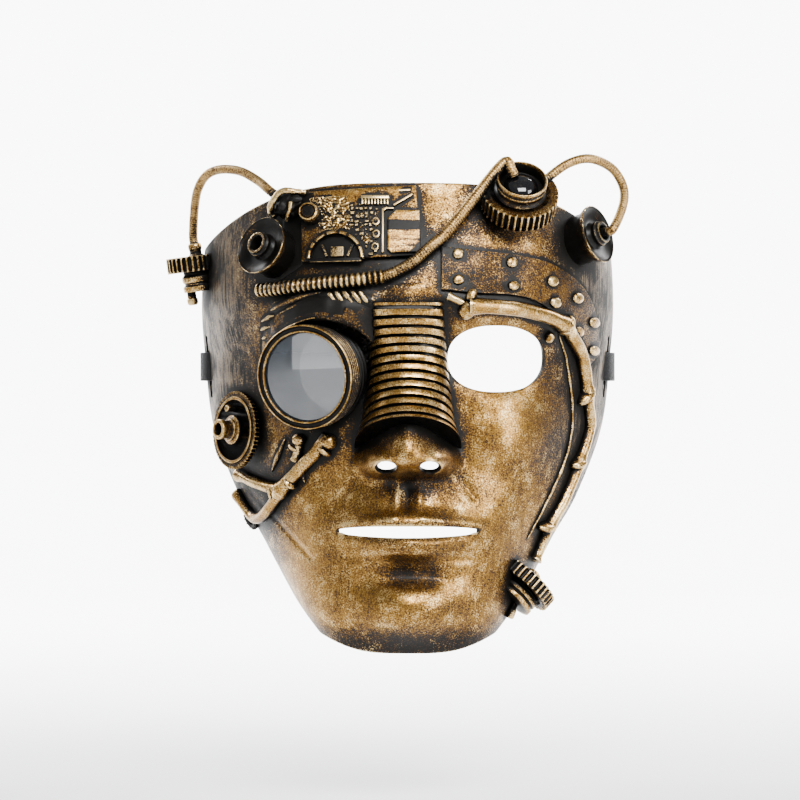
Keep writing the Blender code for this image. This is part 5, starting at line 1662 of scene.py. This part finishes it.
class MASK_OT_gears(bpy.types.Operator):
    """Builds the temple stack, the jaw gear, the chin stack and the small gear."""

    bl_idname = "mask.gears"
    bl_label = "Gears"

    def execute(self, context):
        self.temple()
        self.jaw()
        self.chin()
        at = seated(SMALL_GEAR)
        small = gear_blank(SMALL_GEAR_RADIUS, SMALL_TOOTH, SMALL_GEAR_FACE, SMALL_GEAR_TEETH)
        small = placed(small, at)
        show("small_wheel", small, "dark_paint", "small_gear")
        return {"FINISHED"}

    def temple(self):
        half = TEMPLE_GEAR_FACE / 2
        gear = gear_blank(TEMPLE_GEAR_RADIUS, TOOTH, TEMPLE_GEAR_FACE, TEMPLE_GEAR_TEETH)
        gear = placed(gear, in_stack(0.0))
        show("temple_wheel", gear, "gold_paint", "temple_gear")
        cap_at = in_stack(TEMPLE_CAP_SHIFT)
        radius = 1.5 * HOSE_RADIUS
        top = half + SEAT_GAP + TEMPLE_CAP_LENGTH
        outline = [(0.0, top), (radius * 0.86, top), (radius, top - 0.0008), (radius, top - 0.0024)]
        outline += [(radius * 0.88, top - 0.0028), (radius * 0.88, half + 0.0010), (radius * 1.4, half)]
        outline += [(radius * 1.4, half - 0.0003), (0.0, half - 0.0003)]
        show("temple_collar", placed(spun(outline, 32), cap_at), "gold_paint", "temple_cap")
        drum_at = in_stack(TEMPLE_DRUM_SHIFT)
        low = -half - SEAT_GAP - TEMPLE_DRUM_LENGTH
        drum = placed(spun(stepped(TEMPLE_DRUM_RADIUS, low, -half + 0.0003, 0.0009), 44), drum_at)
        pin_at = in_stack(TEMPLE_PIN_SHIFT)
        pin = [(0.0, low), (0.0019, low), (0.0019, low - 0.0030), (0.0023, low - 0.0034)]
        pin += [(0.0023, low - 0.0052), (0.0016, low - 0.0060), (0.0, low - 0.0060)]
        whole = merged(drum, placed(spun(pin, 24), pin_at))
        show("temple_barrel", whole, "gold_paint", "temple_drum")

    def jaw(self):
        at = seated(JAW_GEAR)
        half = JAW_GEAR_FACE / 2
        gear = gear_blank(JAW_GEAR_RADIUS, TOOTH, JAW_GEAR_FACE, JAW_GEAR_TEETH)
        rims = [
            (0.78 * JAW_GEAR_RADIUS, half - 0.0003),
            (0.78 * JAW_GEAR_RADIUS, half + 0.0005),
            (0.86 * JAW_GEAR_RADIUS, half + 0.0005),
            (0.86 * JAW_GEAR_RADIUS, half - 0.0003),
        ]
        stud_at = Matrix.Translation((0.0, 0.55 * JAW_GEAR_RADIUS, 0.0))
        stud = [(0.0, half + 0.0042), (0.0011, half + 0.0042), (0.0014, half + 0.0038)]
        stud += [(0.0014, half - 0.0004), (0.0, half - 0.0004)]
        whole = merged(gear, spun(rims, 64), placed(spun(stud, 20), stud_at))
        show("jaw_wheel", placed(whole, at), "gold_paint", "jaw_gear")
        top = half + SEAT_GAP + JAW_HUB_LENGTH
        radius = JAW_HUB_RADIUS
        outline = [
            (0.0, top - 0.0050),
            (0.60 * radius, top - 0.0050),
            (0.60 * radius, top - 0.0004),
            (0.70 * radius, top),
            (radius, top - 0.0002),
            (radius, top - 0.0018),
            (0.88 * radius, top - 0.0022),
            (0.88 * radius, half + 0.0030),
            (1.12 * radius, half + 0.0026),
            (1.12 * radius, half + 0.0018),
            (1.45 * radius, half + 0.0012),
            (1.45 * radius, half - 0.0003),
            (0.0, half - 0.0003),
        ]
        show("jaw_spout", placed(spun(outline, 40), at), "gold_paint", "jaw_hub")
        post = [(0.0, -half), (2.0 * radius, -half), (2.0 * radius, -0.009), (0.0, -0.009)]
        show("jaw_base", placed(spun(post, 32), at), "dark_paint", "jaw_post")

    def chin(self):
        at = seated(CHIN_GEAR)
        gear = placed(gear_blank(CHIN_GEAR_RADIUS, TOOTH, CHIN_GEAR_FACE, CHIN_GEAR_TEETH), at)
        show("chin_wheel", gear, "gold_paint", "chin_gear")
        foot = CHIN_GEAR_FACE / 2 + SEAT_GAP
        nut = [(0.0, foot + 0.0036), (0.0020, foot + 0.0036), (0.0029, foot + 0.0030)]
        nut += [(0.0029, foot - 0.0004), (0.0, foot - 0.0004)]
        show("chin_cap", placed(spun(nut, 24), at), "gold_paint", "chin_nut")
        low = -foot - CHIN_DRUM_LENGTH
        drum = placed(spun(stepped(CHIN_DRUM_RADIUS, low, -foot + 0.0004, 0.0009), 48), at)
        show("chin_barrel", drum, "gold_paint", "chin_drum")
        pin_at = aimed(over(0.482, -0.856, 0.6 * 0.0018), (-0.35, -0.1, -0.93))
        pin = [(0.0, 0.0042), (0.0013, 0.0042), (0.0018, 0.0036), (0.0018, 0.0004), (0.0014, 0.0)]
        pin += [(0.0014, -0.0062), (0.0, -0.0062)]
        show("chin_peg", placed(spun(pin, 20), pin_at), "gold_paint", "chin_pin")


class MASK_OT_pipes(bpy.types.Operator):
    """Builds the runs of pipe with their knuckles."""

    bl_idname = "mask.pipes"
    bl_label = "Pipes"

    def execute(self, context):
        for knuckle in KNUCKLES:
            shapes = COLLARS[knuckle.name]
            parts = []
            for across, up, turn, long, wide, tall, tip in shapes:
                x = knuckle.across * HALF_WIDTH + across
                z = height(knuckle.up) + up
                normal = face_normal(x, z)
                along = Vector((math.cos(turn), 0.0, math.sin(turn)))
                along = (along - normal * along.dot(normal)).normalized()
                turned = Matrix((along, normal.cross(along), normal)).transposed().to_4x4()
                ball = bmesh.new()
                bmesh.ops.create_uvsphere(ball, u_segments=28, v_segments=18, radius=1.0)
                bmesh.ops.rotate(ball, verts=ball.verts, matrix=Matrix.Rotation(math.pi / 2, 3, "Y"))
                for vert in ball.verts:
                    share = vert.co.x
                    lump = noise.noise(vert.co * 1.7 + Vector((x, z, 0)) * 90)
                    swell = 1 + 0.22 * share * share + 0.10 * lump
                    vert.co = (share * long, vert.co.y * wide * swell, vert.co.z * tall * swell)
                    if share < 0:
                        vert.co.x += tip * share**5
                at = Matrix.Translation(lifted(x, z, 0.4 * tall)) @ turned
                parts.append(placed(ball, at))
            name = knuckle.name
            show(name + "_collar", merged(*parts), "gold_paint", name)
        self.groove()
        for pipe in PIPES:
            radius = 1.05 * pipe.radius * PIPE_RADIUS
            stops = curve_through(pipe.route, 14)
            path = [over(across, up, 0.5 * radius) for across, up in stops]
            path = evened(path, 48)

            def radius_at(share, turn, radius=radius):
                end = min(share, 1 - share)
                flare = 0.28 * math.exp(-((end / 0.09) ** 2))
                return radius * (1 + flare + 0.03 * math.sin(17 * share + turn))

            show(pipe.name + "_tube", tube(path, radius_at, 20), "gold_paint", pipe.name)
        return {"FINISHED"}

    def groove(self):
        """The thin raised edge along the inner side of the side pipes, and the ball tops under the goggle."""
        path = evened([over(across, up, 0.0002) for across, up in curve_through(EDGE_ROUTE, 10)], 120)

        def edge_at(share, turn):
            swell = 1 + 0.15 * math.sin(60 * share)
            return 0.00075 * (0.25 + 0.75 * math.sin(math.pi * share) ** 0.4) * swell

        show("groove_edge", tube(path, edge_at, 10), "gold_paint")
        tops = []
        for across, up, radius in ((-0.361, -0.290, 0.0033), (-0.495, -0.282, 0.0026)):
            ball = bmesh.new()
            bmesh.ops.create_uvsphere(ball, u_segments=24, v_segments=16, radius=radius)
            tops.append(placed(ball, Matrix.Translation(over(across, up, 0.0022))))
            ring = bmesh.new()
            bmesh.ops.create_uvsphere(ring, u_segments=24, v_segments=16, radius=radius * 1.06)
            bmesh.ops.scale(ring, verts=ring.verts, vec=(1.0, 1.0, 0.45))
            at = aimed(over(across - 0.025, up - 0.030, 0.0016), (-0.55, 0.0, -0.8))
            tops.append(placed(ring, at))
        show("ball_tops", merged(*tops), "gold_paint")


def in_air(stop):
    return Vector((stop[0] * HALF_WIDTH, stop[2] * RIM_DEPTH, height(stop[1])))


class MASK_OT_hoses(bpy.types.Operator):
    """Builds the wrapped hoses, the ribbed hose and the knot where the left one ends."""

    bl_idname = "mask.hoses"
    bl_label = "Hoses"

    def execute(self, context):
        knob_at = seated(KNOB)
        self.knot(knob_at)
        at = in_stack(TEMPLE_CAP_SHIFT)
        top = TEMPLE_GEAR_FACE / 2 + SEAT_GAP + TEMPLE_CAP_LENGTH
        start = at @ Vector((0.0, 0.0, top - 0.0006))
        lead = at @ Vector((0.0, 0.0, top + 2 * HOSE_RADIUS))
        stops = [start, lead] + [in_air(stop) for stop in LEFT_ROUTE] + [knob_at.translation]
        self.wrapped("hose_left_wrap", stops, HOSE_RADIUS, "hose_left")

        hub = seated(FLANGE_RIGHT)
        mouth = FLANGE_STAND + HUB_LENGTH
        ends = [
            hub @ Vector((0.0, 0.0, mouth + 2.2 * HOSE_RADIUS)),
            hub @ Vector((0.0, 0.0, mouth)),
            hub @ Vector((0.0, 0.0, FLANGE_STAND + SEAT_GAP)),
        ]
        stops = [in_air(stop) for stop in RIGHT_ROUTE] + ends
        self.wrapped("hose_right_wrap", stops, HOSE_RADIUS, "hose_right")

        cup_at = seated(CUP_GEAR)
        axis = Vector(CUP_GEAR.axis).normalized()
        left_of = (Vector((-1.0, 0.0, 0.0)) + axis * axis.x).normalized()
        out = left_of * 0.74 + left_of.cross(axis) * 0.67
        top = cup_at @ Vector((0.0, 0.0, CUP_GEAR_FACE / 2 + CUP_DEPTH))
        start = [top + out * 0.42 * CUP_RADIUS - axis * 0.0012, top + out * 0.60 * CUP_RADIUS + axis * 0.0006]
        start.append(top + out * CUP_RADIUS + axis * 0.0016)
        stops = start + [over(stop.across, stop.up, stop.third * LONG_HOSE_RADIUS) for stop in LONG_ROUTE]
        path = self.wrapped("hose_long_wrap", stops, LONG_HOSE_RADIUS, "hose_long")

        along = (path[-1] - path[-2]).normalized()
        rows = curve_through(COIL_ROUTE, 4)[1:]
        stops = [path[-1] - along * 0.0010] + [over(row[0], row[1], row[2] * COIL_RADIUS) for row in rows]
        ribs = context.scene.mask_fittings.coil_ribs
        path = evened(curve_through(stops, 8), ribs * 8)

        def radius_at(share, turn):
            phase = (share * ribs) % 1.0
            return COIL_RADIUS * (0.76 + 0.27 * math.sin(math.pi * phase) ** 1.5)

        show("hose_coil_ribs", tube(path, radius_at, 20), "gold_paint", "hose_coil")
        return {"FINISHED"}

    def wrapped(self, name, stops, radius, node):
        """A hose wound with fine wire."""
        path = curve_through(stops, 10)
        length = path_length(path)
        turns = int(length / 0.00115)
        path = evened(path, turns * 4)

        def radius_at(share, turn):
            wire = abs(math.sin(math.pi * share * turns + turn / 2))
            return radius * (0.93 + 0.09 * wire)

        show(name, tube(path, radius_at, 14), "hose_paint", node)
        return path

    def knot(self, at):
        """The lumpy junction with two mouths, shown as flat black discs of painted shade, and a strand arched
        over them.
        """
        body = bmesh.new()
        bmesh.ops.create_icosphere(body, subdivisions=4, radius=0.0060)
        for vert in body.verts:
            lump = noise.noise(vert.co * 330) * 0.24 + noise.noise(vert.co * 900) * 0.10
            vert.co *= 1 + lump
        bmesh.ops.scale(body, verts=body.verts, vec=(1.0, 0.9, 0.75))
        show("hose_knot", placed(body, at), "dark_paint", "hose_knob")
        centre = at.translation
        strands = []
        for radius, *points in STRANDS:
            line = [centre + Vector((x, self.bulge(x, z), z)) for x, z in points]
            path = evened(curve_through(line, 8), 30)

            def radius_at(share, turn, radius=radius):
                return radius * (1 + 0.22 * noise.noise(Vector((share * 7, turn * 0.3, radius * 900))))

            strands.append(tube(path, radius_at, 12))
        show("knot_strands", merged(*strands), "gold_paint")
        # Flat black discs stand for the two mouths: painted shade inside the openings.
        mouth_shades = []
        for x, z, wide, tall in ((-0.0022, -0.0008, 0.0017, 0.0021), (0.0034, 0.0020, 0.0025, 0.0014)):
            mouth = bmesh.new()
            bmesh.ops.create_uvsphere(mouth, u_segments=20, v_segments=12, radius=1.0)
            bmesh.ops.scale(mouth, verts=mouth.verts, vec=(wide, 0.0010, tall))
            skin = centre + Vector((x, self.bulge(x, z) + 0.0002, z))
            mouth_shades.append(placed(mouth, Matrix.Translation(skin)))
        show("knot_mouths", merged(*mouth_shades), "soot_black")

    def bulge(self, x, z):
        """How far before its middle the knot's skin lies."""
        off = 1 - (x * x + z * z) / 0.0076**2
        return -0.0054 * math.sqrt(max(0.0, off))


class MASK_OT_strap(bpy.types.Operator):
    """Weaves the elastic strap through the slots and behind the head."""

    bl_idname = "mask.strap"
    bl_label = "Strap"

    def execute(self, context):
        z = STRAP_LEVEL
        rim_x = half_width(z)
        rim_y = face(rim_x, z)
        slot_x = slot_place()
        slot_y = slot_depth()
        clear = STRAP_THICKNESS / 2 + 2 * SEAT_GAP
        outside = clear + 0.0004
        inside = WALL + clear + 0.0006
        tail = rim_y + 0.010
        stops = [
            (rim_x - inside - 0.0006, tail),
            (rim_x - inside - 0.0004, rim_y - 0.001),
            (slot_x - inside - 0.0004, slot_y + 0.0028),
            (slot_x - WALL - 0.0008, slot_y + 0.0002),
            (slot_x + 0.0010, slot_y - 0.0002),
            (slot_x + outside + 0.0009, slot_y + 0.0018),
            (rim_x + outside + 0.0002, rim_y - 0.0015),
            (rim_x + outside, rim_y + 0.003),
            (rim_x - 0.0005, tail + 0.003),
        ]
        loop_front = tail + 0.003
        back = STRAP_REACH - loop_front
        turns = 22
        half = []
        for step in range(1, turns + 1):
            turn = math.pi / 2 * step / turns
            half.append(((rim_x - 0.0005) * math.cos(turn), loop_front + back * math.sin(turn)))
        right = stops + half
        left = [(-x, y) for x, y in reversed(right[:-1])]
        middle = [Vector((x, y)) for x, y in right + left]
        columns, rows = len(middle) - 1, 6
        bm = bmesh.new()
        layer = bm.loops.layers.uv.new("UVMap")
        bmesh.ops.create_grid(bm, x_segments=rows, y_segments=columns, size=1.0, calc_uvs=True)
        length = sum((there - here).length for here, there in zip(middle, middle[1:]))
        for vert in bm.verts:
            i = round((vert.co.y + 1) / 2 * columns)
            rise = vert.co.x / 2
            point = middle[i]
            drop = STRAP_DROOP * max(0.0, (point.y - loop_front) / back) ** 1.5
            vert.co = (point.x, point.y, z - drop + rise * STRAP_WIDTH)
        for item in bm.faces:
            for loop in item.loops:
                loop[layer].uv.y *= length / STRAP_WIDTH
        piece = show("strap_band", bm, "strap_elastic", "head_strap", sharp=80.0)
        wall = piece.modifiers.new("thickness", "SOLIDIFY")
        wall.thickness = STRAP_THICKNESS
        wall.offset = 0.0
        round_edges(piece, 0.0003, 60)
        return {"FINISHED"}


class MASK_OT_wear(bpy.types.Operator):
    """Finds the raised edges, which the paint follows, and casts rays for the painted shade in the recesses
    and between parts.
    """

    bl_idname = "mask.wear"
    bl_label = "Wear"

    def execute(self, context):
        graph = context.evaluated_depsgraph_get()
        whole = bmesh.new()
        for piece in PIECES:
            if piece.modifiers:
                finished = bpy.data.meshes.new_from_object(piece.evaluated_get(graph))
                piece.modifiers.clear()
                piece.data = finished
            whole.from_mesh(piece.data)
        tree = BVHTree.FromBMesh(whole)
        whole.free()
        directions = self.directions(12)
        for piece in PIECES:
            self.paint(piece, tree, directions)
        return {"FINISHED"}

    def directions(self, count):
        """Directions spread over a half sphere about +Z."""
        golden = math.pi * (3 - math.sqrt(5))
        spread = []
        for i in range(count):
            rise = 0.25 + 0.7 * (i + 0.5) / count
            reach = math.sqrt(1 - rise * rise)
            spread.append(Vector((reach * math.cos(golden * i), reach * math.sin(golden * i), rise)))
        return spread

    def smoothed(self, bm, values, times):
        for _ in range(times):
            fresh = list(values)
            for vert in bm.verts:
                near = [values[edge.other_vert(vert).index] for edge in vert.link_edges]
                if near:
                    fresh[vert.index] = 0.5 * values[vert.index] + 0.5 * sum(near) / len(near)
            values = fresh
        return values

    def paint(self, piece, tree, directions):
        bm = bmesh.new()
        bm.from_mesh(piece.data)
        bm.normal_update()
        reach, far_reach = 0.0035, 0.014
        count = len(bm.verts)
        bm.verts.index_update()
        wear = [0.0] * count
        crevice = [0.0] * count
        hollow = [0.0] * count
        for vert in bm.verts:
            total = 0.0
            edges = 0
            for edge in vert.link_edges:
                if len(edge.link_faces) == 2:
                    total += edge.calc_face_angle_signed(0.0) / max(edge.calc_length(), 1e-5)
                    edges += 1
            wear[vert.index] = max(-1.0, min(1.0, 0.0006 * total / max(edges, 1)))
            # Painted shade: rays go out over the half sphere about the normal; the sooner and more often they
            # meet a surface, the darker the point is painted.
            normal = vert.normal
            if piece.name == "mask_face" and normal.y > 0.35:
                continue
            turn = normal.to_track_quat("Z", "Y")
            start = vert.co + normal * 0.00015
            near_shade = 0.0
            far_shade = 0.0
            for direction in directions:
                hit = tree.ray_cast(start, turn @ direction, far_reach)
                if hit[0] is not None:
                    near_shade += max(0.0, 1 - hit[3] / reach)
                    far_shade += 1 - hit[3] / far_reach
            crevice[vert.index] = near_shade / len(directions)
            hollow[vert.index] = far_shade / len(directions)
        if piece.name == "mask_face":
            crevice = self.smoothed(bm, crevice, 1)
            hollow = self.smoothed(bm, hollow, 3)
        bm.free()
        for name, values in (("wear", wear), ("crevice", crevice), ("hollow", hollow)):
            attribute = piece.data.attributes.new(name, "FLOAT", "POINT")
            attribute.data.foreach_set("value", values)


class MASK_OT_stage(bpy.types.Operator):
    """Sets the pale floor, the soft lights and the camera."""

    bl_idname = "mask.stage"
    bl_label = "Stage"

    def execute(self, context):
        self.floor()
        self.world()
        centre = Vector((0.0, 0.03, -0.02))
        back = Vector((0.0, 3.0, 0.4))
        for name, place, target, size, power in (
            ("top_front_light", (0.35, -1.25, 1.00), centre, (1.0, 0.6), 32.0),
            ("window_light", (-0.90, -0.95, -0.34), centre, (0.66, 1.3), 3.6),
            ("right_light", (1.15, -0.75, 0.25), centre, (0.5, 1.0), 13.0),
            ("left_light", (-1.30, -0.10, 0.35), centre, (0.5, 1.0), 1.5),
            ("back_left_light", (-1.3, 0.9, 1.1), back, (1.2, 1.2), 165.0),
            ("back_right_light", (1.3, 0.9, 1.1), back, (1.2, 1.2), 165.0),
        ):
            lamp = bpy.data.lights.new(name, "AREA")
            lamp.shape = "RECTANGLE"
            lamp.size, lamp.size_y = size
            lamp.energy = power
            light = bpy.data.objects.new(name, lamp)
            light.matrix_world = aimed(Vector(place), Vector(place) - target)
            context.scene.collection.objects.link(light)
        lens = bpy.data.cameras.new("camera")
        lens.sensor_width = SENSOR
        lens.lens = SENSOR * -CAMERA_PLACE[1] / VIEW_WIDTH
        lens.clip_start = 0.01
        camera = bpy.data.objects.new("camera", lens)
        camera.location = CAMERA_PLACE
        camera.rotation_euler = (math.pi / 2, 0.0, 0.0)
        context.scene.collection.objects.link(camera)
        context.scene.camera = camera
        context.scene.view_settings.look = "AgX - Medium High Contrast"
        return {"FINISHED"}

    def floor(self):
        """A pale floor that curves up behind the mask."""
        bm = bmesh.new()
        bmesh.ops.create_grid(bm, x_segments=2, y_segments=40, size=1.0)
        for vert in bm.verts:
            share = (vert.co.y + 1) / 2
            along = -2.2 + 6.0 * share
            bend = max(0.0, along - COVE_START)
            turn = min(bend / COVE_RADIUS, math.pi / 2)
            reach = min(along, COVE_START + COVE_RADIUS * math.sin(turn))
            vert.co = (vert.co.x * FLOOR_HALF, reach, FLOOR_LEVEL)
            if bend > 0:
                vert.co.z += COVE_RADIUS * (1 - math.cos(turn)) + max(0.0, bend - 2.2)
        mesh = bpy.data.meshes.new("floor")
        bm.to_mesh(mesh)
        bm.free()
        floor = bpy.data.objects.new("floor", mesh)
        bpy.context.scene.collection.objects.link(floor)
        mesh.shade_smooth()
        finish = Finish("pale_floor")
        cloud = finish.noise(6.0, 2.0, 0.5)
        pale = finish.mixed(cloud, (0.86, 0.86, 0.86), (0.90, 0.90, 0.90))
        mesh.materials.append(finish.surface({"Base Color": pale, "Roughness": 0.9}))

    def world(self):
        world = bpy.data.worlds.new("studio")
        world.use_nodes = True
        back = world.node_tree.nodes["Background"]
        back.inputs["Color"].default_value = (0.95, 0.97, 1.0, 1.0)
        back.inputs["Strength"].default_value = 0.36
        bpy.context.scene.world = world


class MASK_PT_panel(bpy.types.Panel):
    """Lists the mask's pieces in the sidebar."""

    bl_idname = "MASK_PT_panel"
    bl_label = "Steampunk mask"
    bl_space_type = "VIEW_3D"
    bl_region_type = "UI"
    bl_category = "Mask"

    def draw(self, context):
        layout = self.layout
        scene = context.scene
        for group in (scene.mask_sizes, scene.mask_fittings, scene.mask_colours):
            box = layout.box()
            for name in group.__annotations__:
                box.prop(group, name)
        for operator in OPERATORS:
            layout.operator(operator.bl_idname)


GROUPS = (MaskSizes, FittingSizes, FinishColours)
OPERATORS = (
    MASK_OT_face,
    MASK_OT_bellows,
    MASK_OT_goggle,
    MASK_OT_panel,
    MASK_OT_brow_band,
    MASK_OT_flanges,
    MASK_OT_cup,
    MASK_OT_gears,
    MASK_OT_pipes,
    MASK_OT_hoses,
    MASK_OT_strap,
    MASK_OT_wear,
    MASK_OT_stage,
)


def register():
    for item in GROUPS + OPERATORS + (MASK_PT_panel,):
        bpy.utils.register_class(item)
    bpy.types.Scene.mask_sizes = PointerProperty(type=MaskSizes)
    bpy.types.Scene.mask_fittings = PointerProperty(type=FittingSizes)
    bpy.types.Scene.mask_colours = PointerProperty(type=FinishColours)


def unregister():
    for name in ("mask_sizes", "mask_fittings", "mask_colours"):
        delattr(bpy.types.Scene, name)
    for item in reversed(GROUPS + OPERATORS + (MASK_PT_panel,)):
        bpy.utils.unregister_class(item)


def main():
    register()
    bpy.ops.mask.face()
    bpy.ops.mask.bellows()
    bpy.ops.mask.goggle()
    bpy.ops.mask.panel()
    bpy.ops.mask.brow_band()
    bpy.ops.mask.flanges()
    bpy.ops.mask.cup()
    bpy.ops.mask.gears()
    bpy.ops.mask.pipes()
    bpy.ops.mask.hoses()
    bpy.ops.mask.strap()
    bpy.ops.mask.wear()
    bpy.ops.mask.stage()


if __name__ == "__main__":
    main()
